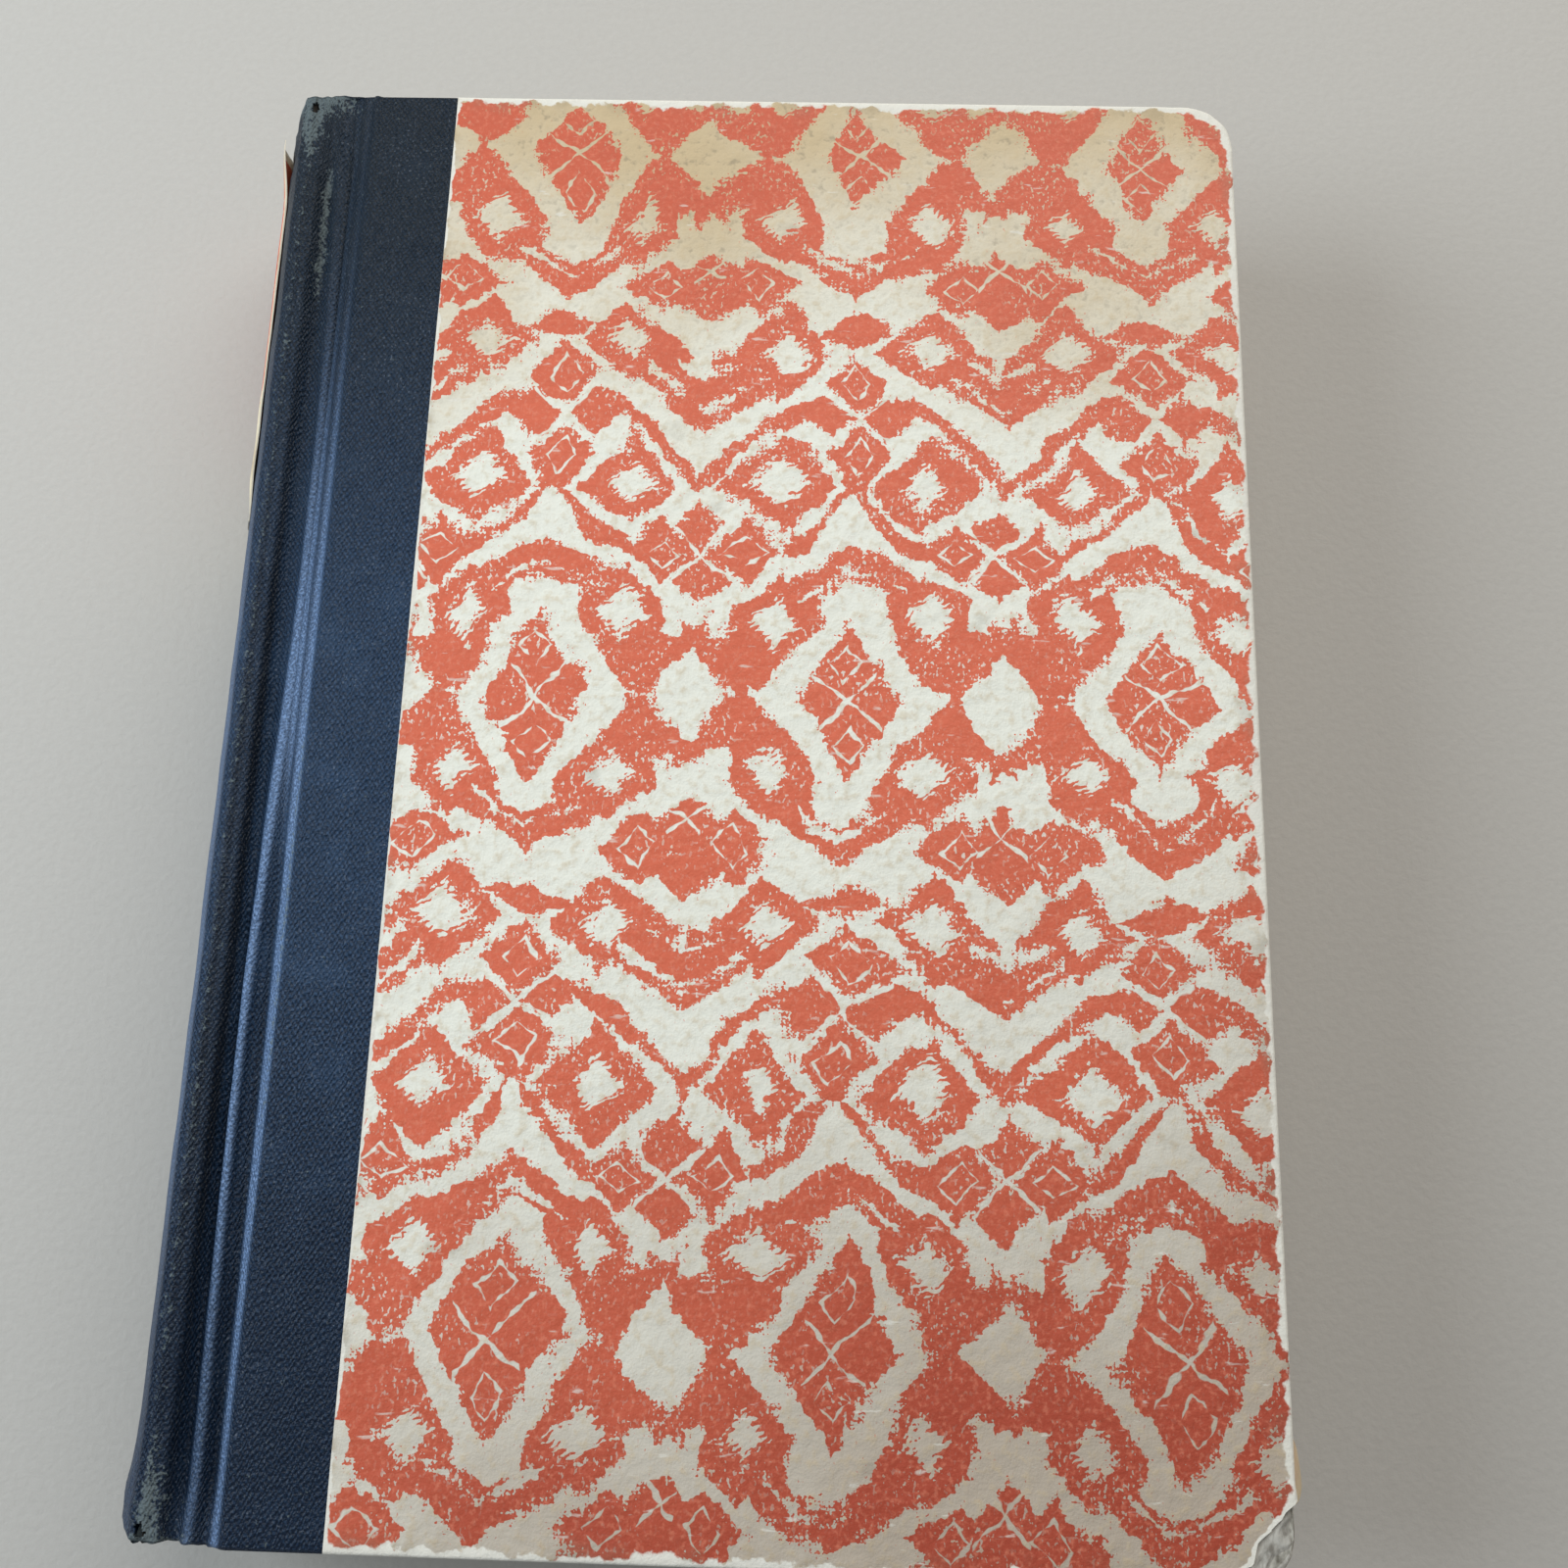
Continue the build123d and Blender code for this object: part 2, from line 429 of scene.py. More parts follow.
class Graph:
    """The nodes of one material."""

    def __init__(self, name: str, flat: bool = False) -> None:
        """Start a material with a Principled shader and its output.

        Args:
            name: The material's name.
            flat: Whether its unevenness varies only across a sheet and not through it.
        """
        self.dimensions = "2D" if flat else "3D"
        self.material = bpy.data.materials.new(name)
        self.material.use_nodes = True
        self.tree = self.material.node_tree
        self.tree.nodes.clear()
        self.shader = self.node("ShaderNodeBsdfPrincipled")
        self.output = self.node("ShaderNodeOutputMaterial", {}, {"Surface": self.shader.outputs[0]})

    def node(self, kind: str, settings: dict | None = None, inputs: dict | None = None) -> bpy.types.Node:
        """Add a node.

        Args:
            kind: The node's type.
            settings: Its own settings, which are set first.
            inputs: Values, sockets or Values for its inputs, by name or number.

        Returns:
            The node.
        """
        made = self.tree.nodes.new(kind)
        for key, value in (settings or {}).items():
            setattr(made, key, value)
        self.feed(made, inputs or {})
        return made

    def feed(self, node: bpy.types.Node, inputs: dict) -> None:
        """Set or link inputs of a node.

        Args:
            node: The node.
            inputs: Values, sockets or Values, by name or number.
        """
        for key, value in inputs.items():
            value = value.socket if isinstance(value, Value) else value
            if isinstance(value, bpy.types.NodeSocket):
                self.tree.links.new(value, node.inputs[key])
            else:
                node.inputs[key].default_value = value

    def shows_backdrop(self) -> Value:
        """1 for a ray that shows the surroundings, 0 for one that is lit by them.

        Returns:
            A value for the factor of a mix.
        """
        rays = self.node("ShaderNodeLightPath").outputs
        kinds = ("Camera", "Glossy", "Transmission")
        camera, glossy, passing = (Value(self, rays[f"Is {kind} Ray"]) for kind in kinds)
        return camera.most(glossy).most(passing)

    def place(self) -> bpy.types.NodeSocket:
        """Where a point is on its piece."""
        return self.node("ShaderNodeTexCoord").outputs["Object"]

    def kept(self, name: str) -> bpy.types.Node:
        """What a piece keeps at its vertices under a name."""
        return self.node("ShaderNodeAttribute", {"attribute_name": name})

    def apart(self, vector: bpy.types.NodeSocket) -> tuple[Value, Value, Value]:
        """The three parts of a vector in metres, as millimetres."""
        parts = self.node("ShaderNodeSeparateXYZ", {}, {0: vector})
        return tuple(Value(self, out) * (1 / MM) for out in parts.outputs)

    def scaled(self, vector: bpy.types.NodeSocket, factors: Triple,
               turn: float = 0.0) -> bpy.types.NodeSocket:
        """A vector stretched along its axes and turned about Z.

        Args:
            vector: The vector.
            factors: How much each axis is multiplied by.
            turn: Degrees about Z.

        Returns:
            The new vector.
        """
        made = self.node("ShaderNodeMapping", {"vector_type": "POINT"},
                         {"Vector": vector, "Scale": factors, "Rotation": (0, 0, math.radians(turn))})
        return made.outputs[0]

    def noise(self, vector: bpy.types.NodeSocket, size: float, detail: float = 2.0,
              roughness: float = 0.55) -> Value:
        """Soft unevenness.

        Args:
            vector: Where, in metres.
            size: How far apart its swells are, in millimetres.
            detail: How many finer layers it has.
            roughness: How strong those are.

        Returns:
            A value from 0 to 1, about one half.
        """
        return Value(self, self.clouds(vector, size, detail, roughness).outputs[0])

    def clouds(self, vector: bpy.types.NodeSocket, size: float, detail: float,
               roughness: float) -> bpy.types.Node:
        """A noise texture with swells of a size in millimetres."""
        return self.node("ShaderNodeTexNoise", {"noise_dimensions": self.dimensions}, {
            "Vector": vector, "Scale": 1 / (size * MM), "Detail": detail, "Roughness": roughness})

    def drift(self, vector: bpy.types.NodeSocket, size: float, detail: float = 1.0) -> tuple[Value, Value]:
        """Two unlike unevennesses, each from about -1 to 1, to push a pattern by.

        Args:
            vector: Where, in metres.
            size: How far apart the swells are, in millimetres.
            detail: How many finer layers there are.

        Returns:
            The push across and the push down.
        """
        made = self.clouds(vector, size, detail, 0.5)
        parts = self.node("ShaderNodeSeparateXYZ", {}, {0: made.outputs["Color"]})
        return tuple(Value(self, out) * 4 - 2 for out in parts.outputs[:2])

    def mix(self, factor: Number, first: Tint, second: Tint) -> bpy.types.NodeSocket:
        """A colour between two.

        Args:
            factor: 0 for the first, 1 for the second.
            first: A colour.
            second: Another colour.

        Returns:
            The mixed colour.
        """
        return self.node("ShaderNodeMix", {"data_type": "RGBA"}, {0: factor, 6: first, 7: second}).outputs[2]

    def surface(self, colour: Tint, roughness: Number, relief: Value | None = None, depth: float = 0.1,
                **constants: float | Colour) -> bpy.types.Material:
        """Link what was made to the shader.

        Args:
            colour: The base colour.
            roughness: The roughness.
            relief: Height in shares of the depth.
            depth: The depth of the relief, in millimetres.
            constants: Other sockets of the shader, by name with _ for a space, with one value all over.

        Returns:
            The finished material.
        """
        inputs = {"Base Color": colour, "Roughness": roughness}
        if relief is not None:
            inputs["Normal"] = self.node("ShaderNodeBump", {}, {
                "Strength": 1.0, "Distance": depth * MM, "Height": relief}).outputs[0]
        inputs.update({key.replace("_", " "): value for key, value in constants.items()})
        self.feed(self.shader, inputs)
        return self.material


class WorldGraph(Graph):
    """The nodes of the surroundings."""

    def __init__(self, name: str) -> None:
        """Start a world with no nodes in it.

        Args:
            name: The world's name.
        """
        self.world = bpy.data.worlds.new(name)
        self.world.use_nodes = True
        self.tree = self.world.node_tree
        self.tree.nodes.clear()


@dataclass(frozen=True)
class ResistPattern:
    """A traditional resist-dyed pattern of diamonds, eyes and chevrons, as formulas of mirrored places.

    Every figure is a value in millimetres that is above 0 inside it. Figures join by their larger value and
    are cut out by the smaller one.
    """

    axis_x: float = -4.8  # a line of mirror symmetry through the stars
    row_y: float = 7.6  # middle of a row of large diamonds and stars
    across: float = 43.6  # from one column of diamonds to the next
    down: float = 86.9  # from one row of large diamonds to the next
    eye: float = 11.1  # of an eye from its column
    side_row: float = 65.4  # down from there to the clusters on their side
    upright_reach: float = 6.05  # of the larger squares in an upright cluster
    side_reach: float = 5.9  # and in one on its side
    pair: tuple[float, float] = (6.4, 21.8)  # of the two squares below a star, across and down
    hollow_row: float = 54.4  # and to the hollow diamonds

    @staticmethod
    def diamond(x: Number, y: Number, half_width: float, half_height: float) -> Value:
        """A diamond about the middle, above 0 inside."""
        grade = half_width * half_height / math.hypot(half_width, half_height)
        return (1 - x / half_width - y / half_height) * grade

    def four_squares(self, x: Value, y: Value, reach: float, apart: float) -> Value:
        """Four squares on their corners.

        Args:
            x: Distance from the middle along the smaller pair.
            y: Distance from the middle along the larger pair.
            reach: Middle of a larger square.
            apart: Middle of a smaller square.

        Returns:
            The figure.
        """
        return self.diamond(x, abs(y - reach), 5.6, 5.0).most(self.diamond(abs(x - apart), y, 4.2, 4.0))

    def square_lines(self, x: Value, y: Value, reach: float) -> Value:
        """The thin cross between four squares and the outline inside the larger pair.

        Args:
            x: Distance from the middle along the smaller pair.
            y: Distance from the middle along the larger pair.
            reach: Middle of a larger square.

        Returns:
            The distance from the lines, below 0 on them.
        """
        cross = (abs(x * 0.85 - y) * 0.76 - 0.22).most(x - 4.6)
        return cross.least(abs(self.diamond(x, abs(y - reach), 2.3, 2.75)) - 0.12)

    def folded(self, x: Value, y: Value) -> tuple[Value, Value, Value, Value, Value]:
        """Where a point is in the repeat.

        Args:
            x: Place across the cover.
            y: Place up the cover.

        Returns:
            Distances from the nearest column, down from a row, from the nearest row and from the nearest half
            row, and 1 on the side of every other star.
        """
        half = self.across / 2
        along = (x - self.axis_x).folded(self.across)
        below = (self.row_y - y).repeated(self.down)
        row = below.folded(self.down / 2)
        return abs(along - half), below, row, row.folded(self.down / 4), along.over(half)

    def ink(self, x: Value, y: Value, swing: Value) -> Value:
        """The printed figures.

        Args:
            x: Place across the cover.
            y: Place up the cover.
            swing: Makes the middle of each large diamond fuller or leaner.

        Returns:
            Above 0 where there is ink, about as many millimetres as it is from the edge of it.
        """
        column, below, row, fold, every_other = self.folded(x, y)
        star = self.across / 2 - column
        eye_x = abs(column - self.eye)
        pair_x, pair_y = abs(star - self.pair[0]), abs(below - self.pair[1])
        hollow_y = abs(below - self.hollow_row)

        # Large diamond: an eye in each shoulder, and a pale ring with two caps round a filled middle
        rim = (24 - column * 0.66 - row) * 0.83
        ink = rim.most(self.diamond(eye_x, abs(row - 11.2), 8.4, 7.2))
        ink = ink.least((abs(rim - 3.3) - 0.16).most(column - 7.5))
        ring = ((12.9 - column - row * 0.74) * 0.8).least(13.8 - row)
        ring = ring.most((4.6 - column).least((17.9 - row - column * 0.6) * 0.86))
        ring = ring.most((0.45 - row).least(13.9 - column))
        ink = ink.least(-ring)
        ink = ink.most(self.diamond(column, row, 7.6, 11.4) + swing)

        # Star between two diamonds, with two pale fingers above it and two below
        ink = ink.least((star + row * 0.86 - star.least(row) * 0.14 - 6.1) * 0.8)
        fingers = (1.5 - abs(star - 3.5)).least(row - 8.9)
        ink = ink.least(-fingers)

        # Wide chevron below each star, with an eye in each arm
        chevron = (45.3 - star * 0.66 - below).least(below + star * 0.66 - every_other * 1.4 - 37.6) * 0.83
        ink = ink.most(chevron.least(12.5 - star))
        ink = ink.most(self.diamond(eye_x, abs(below - 32.4), 7.6, 7.4))
        ink = ink.most(self.diamond(column, abs(below - 29.6), 6.2, 2.6))
        ink = ink.most((0.9 - abs(below + star * 0.4 - 35.2) * 0.9).least(2.2 - abs(star - 3.4)))
        ink = ink.most(self.diamond(star, abs(below - 22.3), 9.0, 6.6))
        ink = ink.most(self.diamond(pair_x, pair_y, 6.0, 5.0))
        ink = ink.least((abs(below + star * 0.72 - 42.2 - every_other) * 0.8 - 0.34).most(star - 8))

        # Clusters of four squares: upright on the columns, on their side above the stars
        ink = ink.most(self.four_squares(column, abs(below - self.down / 2), self.upright_reach, 4.3))
        ink = ink.most(self.four_squares(abs(below - self.side_row), star, self.side_reach, 4.3))

        # Zigzag lines, and hollow diamonds between them in a pale outline
        zigzag = (54.0 - star * 0.92).most(46.3 - star * 0.3)
        ink = ink.most((1.15 - abs(below - zigzag) * 0.78).least(17.8 - star))
        gable = (column * 1.45 + 52.4).least(column * 0.57 + 58.6)
        ink = ink.most((1.0 - abs(below - gable) * 0.66).least(11.6 - column))
        ink = ink.least(-self.diamond(eye_x, hollow_y, 10.0, 9.4))
        ink = ink.most(self.diamond(eye_x, hollow_y, 8.0, 7.5))

        # Eyes, hatched by the brush
        hatch = ((y * 0.87 - x * 0.5) * (2 * math.pi / 0.9)).sine() * 0.5
        return ink.least((eye_x + abs(fold - 11.0)) * 0.8 - 2.75 + hatch)

    def lines(self, x: Value, y: Value) -> Value:
        """The thin pale lines drawn in the figures.

        Args:
            x: Place across the cover.
            y: Place up the cover.

        Returns:
            The distance from the lines, below 0 on them.
        """
        column, below, _, fold, every_other = self.folded(x, y)
        star = self.across / 2 - column
        pair_x, pair_y = abs(star - self.pair[0]), abs(below - self.pair[1])
        lines = self.square_lines(column, fold, self.upright_reach)
        lines = lines.least(self.square_lines(abs(below - self.side_row), star, self.side_reach))
        lines = lines.least(abs(self.diamond(pair_x, pair_y, 2.4, 2.6)) - 0.12)
        nicks = (abs(star * 0.85 - abs(below - 19.0)) * 0.76 - 0.24).most(star - 2.2 - every_other * 1.6)
        return lines.least(nicks)


@dataclass(frozen=True)
class PrintedPaper:
    """Old printed paper: feathered ink, browning, specks, and white where the edges are rubbed."""

    pattern: ResistPattern = ResistPattern()
    thread_pitch: float = 0.66
    ink: Colour = srgb(213, 105, 77)
    thin_ink: Colour = srgb(228, 142, 114)
    deep_ink: Colour = srgb(168, 72, 52)
    paper: Colour = srgb(231, 232, 221)
    browned: Colour = srgb(198, 178, 142)
    # Darker tone towards the tail and the fore-edge: partly real soiling, partly painted shade
    soiled_and_shaded: Colour = srgb(172, 157, 140)
    rubbed: Colour = srgb(226, 224, 214)
    dirt: Colour = srgb(128, 118, 100)

    def material(self) -> bpy.types.Material:
        """Build the material.

        Returns:
            A material that reads the paper's flat place and its kept distance from the rim.
        """
        g = Graph("printed_paper", flat=True)
        place = g.kept("sheet").outputs["Vector"]
        x, y, _ = g.apart(place)
        rim = Value(g, g.kept("rim").outputs["Fac"])

        # Hand-cut unevenness, then the feathered edge of a dye that bled along the threads
        sway_x, sway_y = g.drift(place, 19.0, 0.0)
        push_x, push_y = g.drift(place, 7.0)
        nudge_x, nudge_y = g.drift(place, 1.6)
        bent_x, bent_y = x + sway_x * 0.9 + push_x * 0.6, y + sway_y * 0.9 + push_y * 0.6
        swing = (g.noise(place, 26.0, 0.0) - 0.5) * 2.0 - y * 0.012
        field_ink = self.pattern.ink(bent_x + nudge_x * 0.3, bent_y + nudge_y * 0.3, swing)
        lines = self.pattern.lines(bent_x + nudge_x * 0.12, bent_y + nudge_y * 0.12)
        lines = lines + (g.noise(place, 1.9, 1.0) - 0.48) * 0.8
        turn = 2 * math.pi / self.thread_pitch
        threads = ((x + nudge_x * 0.2) * turn).sine() * ((y + nudge_y * 0.2) * turn).sine()
        warp = g.noise(g.scaled(place, (1.0, 0.2, 1.0)), 0.55, 1.0)
        weft = g.noise(g.scaled(place, (0.2, 1.0, 1.0)), 0.55, 1.0)
        feather = g.noise(place, 6.0, 1.0).ease(0.44, 0.66)
        grain = (g.noise(place, 0.55, 1.0) - 0.5) * 5.0
        edge = field_ink + (warp + weft - 1.0) * (feather * 1.9 + 0.75)
        edge = edge + (g.noise(place, 9.0, 1.0) - 0.48) * 2.2
        edge = edge + grain * (feather * 0.2 + 0.08) + threads * feather * 0.4
        printed = edge.ease(-0.06, 0.06)
        starved = g.noise(place, 8.0, 2.0).ease(0.42, 0.66)
        specks = (g.noise(g.scaled(place, (1.0, 0.7, 1.0)), 0.55, 1.0) - 0.5) * 6.0
        printed = printed * (1 - specks.ease(0.85, 1.0) * (starved * 0.75 + 0.05))
        printed = printed.most((-specks).ease(1.4, 1.7) * field_ink.ease(-2.0, -0.2) * 0.85)
        printed = printed * lines.ease(-0.07, 0.09)

        # Colours: ink deeper and paper darker to the tail and the fore-edge, partly real soiling and partly
        # painted shade; paper browned to the head
        ageing = g.noise(place, 34.0, 3.0)
        soil_and_shade = (x * 0.45 - y + (ageing - 0.5) * 60).ease(18, 128)
        brown = ((ageing - 0.5) * 70 + y).ease(35, 110)
        ink = g.mix(soil_and_shade, self.ink, self.deep_ink)
        ink = g.mix(brown * 0.35, ink, self.deep_ink)
        ink = g.mix(g.noise(place, 0.8, 2.0).ease(0.48, 0.8) * 0.4, ink, self.thin_ink)
        paper = g.mix(brown, self.paper, self.browned)
        paper = g.mix(soil_and_shade * 0.9, paper, self.soiled_and_shaded)
        mottle = g.noise(place, 1.5, 2.0)
        paper = g.mix(mottle.ease(0.46, 0.8) * 0.45, paper, self.browned)
        paper = g.mix(mottle.ease(0.44, 0.2) * brown * 0.5, paper, self.dirt)
        paper = g.mix(g.noise(place, 14.0, 4.0).ease(0.66, 0.82) * 0.35, paper, self.dirt)
        colour = g.mix(printed, paper, ink)

        # Rubbed to the white core along the rim, and dirt beside it
        fray = (g.noise(place, 3.0, 4.0) - 0.5) * 3.2 + (g.noise(place, 16.0, 2.0) - 0.5) * 2.4
        bare = (rim + fray).ease(1.15, 0.75)
        colour = g.mix(rim.ease(4.5, 0.5) * g.noise(place, 6.0, 4.0).ease(0.45, 0.7) * 0.3, colour, self.dirt)
        colour = g.mix(bare, colour, self.rubbed)
        scuffs = g.noise(g.scaled(place, (0.25, 1.0, 1.0), 35.0), 1.4, 3.0).ease(0.70, 0.78)
        colour = g.mix(scuffs * 0.55, colour, self.rubbed)

        tooth = g.noise(place, 0.35, 1.0)
        felt = g.noise(place, 3.0, 2.0)
        relief = tooth * 0.16 + felt * 0.84
        roughness = 0.62 + bare * 0.2 - printed * 0.08
        return g.surface(colour, roughness, relief, 0.3, Specular_IOR_Level=0.3)


@dataclass(frozen=True)
class BookCloth:
    """Fine dyed linen, starched and rubbed, with grey wear along its bends and ends, a painted highlight
    along its raised folds, and painted shade in the hollows between them.
    """

    dye: Colour = srgb(9, 24, 42)
    thread: Colour = srgb(51, 76, 106)
    worn: Colour = srgb(108, 120, 122)
    fleck: Colour = srgb(120, 130, 144)
    # The next two colours are painted light: a blue highlight on the raised folds, and the shade in the
    # hollows between them
    rubbed: Colour = srgb(122, 151, 193)
    grime_and_shade: Colour = srgb(10, 14, 19)
    head_tone: Colour = srgb(14, 24, 30)
    bloom: Colour = srgb(120, 150, 205)
    pitch: tuple[float, float] = (0.745, 1.06)  # of the weave, across the book and up it

    def material(self) -> bpy.types.Material:
        """Build the material.

        Returns:
            A material that reads the cloth's flat place, its kept wear, and its kept painted highlight and
            shade.
        """
        g = Graph("book_cloth", flat=True)
        flat = g.kept("flat").outputs["Vector"]
        wear = Value(g, g.kept("wear").outputs["Fac"])
        painted_light = Value(g, g.kept("painted_light").outputs["Fac"])
        u, v, _ = g.apart(flat)
        turn_u, turn_v = (2 * math.pi / pitch for pitch in self.pitch)
        slub = (g.noise(g.scaled(flat, (1.0, 0.15, 1.0)), 0.9, 1.0) - 0.5) * 0.7
        weave = ((u + slub) * turn_u).sine() * ((v - slub) * turn_v).sine() * 0.5 + 0.5
        grain = g.noise(flat, 0.36, 1.0)
        blotch = g.noise(flat, 9.0, 3.0)

        colour = g.mix((weave * 0.75 + grain * 0.9 - 0.6).ease(0.0, 0.7) * 0.8, self.dye, self.thread)
        # Lighter thread in random patches, and a painted sheen that lightens the cloth towards the middle,
        # between head and tail
        colour = g.mix(blotch.ease(0.45, 0.8) * 0.3 + abs(v).ease(75, 10) * 0.22, colour, self.thread)
        # Darker and greyer towards the head, and darker towards the tail
        colour = g.mix((v + (blotch - 0.5) * 40).ease(10, 95) * 0.75, colour, self.head_tone)
        colour = g.mix(v.ease(-30, -90) * 0.6, colour, self.dye)
        # Painted highlight along the raised folds and the spine's flank, broken up by the weave, and painted
        # shade in the hollows between them
        sparkle = g.noise(flat, 0.42, 1.0).ease(0.42, 0.66)
        colour = g.mix(painted_light.ease(0.05, 0.9) * (sparkle * 0.55 + 0.38), colour, self.rubbed)
        colour = g.mix((-painted_light).ease(0.0, 1.0) * 0.85, colour, self.grime_and_shade)
        flecks = g.noise(flat, 0.45, 0.0).ease(0.76, 0.82) * blotch.ease(0.4, 0.62)
        colour = g.mix(flecks * 0.3, colour, self.fleck)
        frayed = (g.noise(flat, 1.5, 4.0, 0.7) - 0.5) * 2.4 + (g.noise(flat, 0.5, 2.0) - 0.5) * 1.8
        rub = (wear * 1.4 + frayed - 0.6).ease(0.1, 0.6)
        colour = g.mix(rub * 0.68, colour, self.worn)

        relief = weave * 0.7 + g.noise(flat, 0.5, 1.0) * 1.5 + g.noise(flat, 3.0, 1.0) * 0.8
        roughness = 0.36 + blotch * 0.1 + rub * 0.3
        return g.surface(colour, roughness, relief, 0.17, Specular_IOR_Level=0.16,
                         Sheen_Weight=0.02, Sheen_Roughness=0.4, Sheen_Tint=self.bloom)


@dataclass(frozen=True)
class PageEdges:
    """Cut page edges: close lines of leaves, browned at the outside, dusty at the head."""

    leaf: Colour = srgb(226, 216, 190)
    shadow: Colour = srgb(186, 171, 140)
    dust: Colour = srgb(168, 158, 140)

    def material(self) -> bpy.types.Material:
        """Build the material.

        Returns:
            A material whose lines lie flat, one above the other.
        """
        g = Graph("page_edges")
        place = g.place()
        _, y, _ = g.apart(place)
        leaves = g.noise(g.scaled(place, (0.004, 0.004, 1.0)), 0.15, 2.0, 0.7)
        gatherings = g.noise(g.scaled(place, (0.002, 0.002, 1.0)), 1.6, 1.0)
        foxing = g.noise(place, 9.0, 5.0).ease(0.55, 0.8)
        colour = g.mix(leaves.ease(0.62, 0.38), self.leaf, self.shadow)
        colour = g.mix(gatherings.ease(0.5, 0.32) * 0.4, colour, self.shadow)
        colour = g.mix(foxing * 0.35 + y.ease(90, 104) * 0.4, colour, self.dust)
        return g.surface(colour, 0.8 + foxing * 0.1, leaves * 0.7 + gatherings * 0.3, 0.12,
                         Specular_IOR_Level=0.2)


@dataclass(frozen=True)
class PlainPaper:
    """Uncoated paper: fibres, browning towards its edges, foxing."""

    name: str
    sheet: Colour
    age: Colour
    fibre: float = 0.3
    edges: tuple[float, float] = (75.0, 105.0)  # X and Y at which the sheets end
    foxing: Colour = srgb(150, 108, 66)

    def material(self) -> bpy.types.Material:
        """Build the material.

        Returns:
            A material on the piece's own place.
        """
        g = Graph(self.name)
        place = g.place()
        x, y, _ = g.apart(place)
        cloud = g.noise(place, 26.0, 4.0)
        edge = (abs(y) - self.edges[1]).most(x - self.edges[0]) + (cloud - 0.5) * 40
        fibre = g.noise(g.scaled(place, (1.0, 0.25, 1.0), 20.0), self.fibre, 3.0)
        spots = g.noise(place, 2.2, 2.0).ease(0.68, 0.78) * cloud.ease(0.4, 0.65)
        colour = g.mix(cloud.ease(0.35, 0.8) * 0.25 + edge.ease(-28, 4) * 0.6, self.sheet, self.age)
        colour = g.mix(fibre.ease(0.5, 0.8) * 0.3, colour, self.age)
        colour = g.mix(spots * 0.5, colour, self.foxing)
        return g.surface(colour, 0.78 + cloud * 0.15, fibre * 0.6 + cloud * 0.4, 0.1, Specular_IOR_Level=0.25)


@dataclass(frozen=True)
class Pasteboard:
    """Grey pulp board: fibre clumps, layers, and soft crumbs where it is torn."""

    name: str = "pasteboard"
    pulp: Colour = srgb(150, 148, 138)
    light: Colour = srgb(196, 194, 184)
    dark: Colour = srgb(98, 92, 82)
    depth: float = 0.25

    def material(self) -> bpy.types.Material:
        """Build the material.

        Returns:
            A material on the piece's own place.
        """
        g = Graph(self.name)
        place = g.place()
        clump = g.noise(place, 1.6, 5.0, 0.65)
        fibre = g.noise(g.scaled(place, (1.0, 0.4, 2.5), 50.0), 0.6, 3.0)
        layer = g.noise(g.scaled(place, (0.05, 0.05, 1.0)), 0.35, 1.0)
        colour = g.mix(clump.ease(0.35, 0.7), self.dark, self.pulp)
        colour = g.mix((fibre * 0.6 + layer * 0.5).ease(0.45, 0.75), colour, self.light)
        return g.surface(colour, 0.88 + clump * 0.1, clump * 0.6 + fibre * 0.4, self.depth,
                         Specular_IOR_Level=0.15)


@dataclass(frozen=True)
class BandThread:
    """Two colours of thread wound side by side over a core."""

    light: Colour = srgb(214, 202, 176)
    dark: Colour = srgb(150, 58, 44)
    grime_and_shade: Colour = srgb(110, 96, 78)
    pitch: float = 1.5
    strand: float = 0.25

    def material(self) -> bpy.types.Material:
        """Build the material.

        Returns:
            A material whose stripes go round the band.
        """
        g = Graph("band_thread")
        place = g.place()
        _, _, z = g.apart(place)
        stripe = (z * (2 * math.pi / self.pitch)).sine()
        strand = (z * (2 * math.pi / self.strand)).sine()
        soil_and_shade = g.noise(place, 2.0, 4.0)
        colour = g.mix(stripe.ease(-0.25, 0.25), self.light, self.dark)
        colour = g.mix(soil_and_shade.ease(0.4, 0.8) * 0.5, colour, self.grime_and_shade)
        return g.surface(colour, 0.6 + soil_and_shade * 0.2, strand * 0.5 + soil_and_shade * 0.3, 0.15, Specular_IOR_Level=0.3)


@dataclass(frozen=True)
class Gauze:
    """Open starched gauze under old glue."""

    thread: Colour = srgb(188, 172, 138)
    glue: Colour = srgb(112, 84, 50)
    pitch: float = 1.0

    def material(self) -> bpy.types.Material:
        """Build the material.

        Returns:
            A material with an open square weave.
        """
        g = Graph("gauze")
        place = g.place()
        _, y, z = g.apart(place)
        turn = 2 * math.pi / self.pitch
        mesh = (y * turn).sine().most((z * turn).sine())
        stain = g.noise(place, 5.0, 4.0)
        colour = g.mix(mesh.ease(0.2, 0.7), self.glue, self.thread)
        colour = g.mix(stain.ease(0.45, 0.8) * 0.4, colour, self.glue)
        return g.surface(colour, 0.6 + stain * 0.3, mesh * 0.6 + stain * 0.2, 0.15, Specular_IOR_Level=0.3)


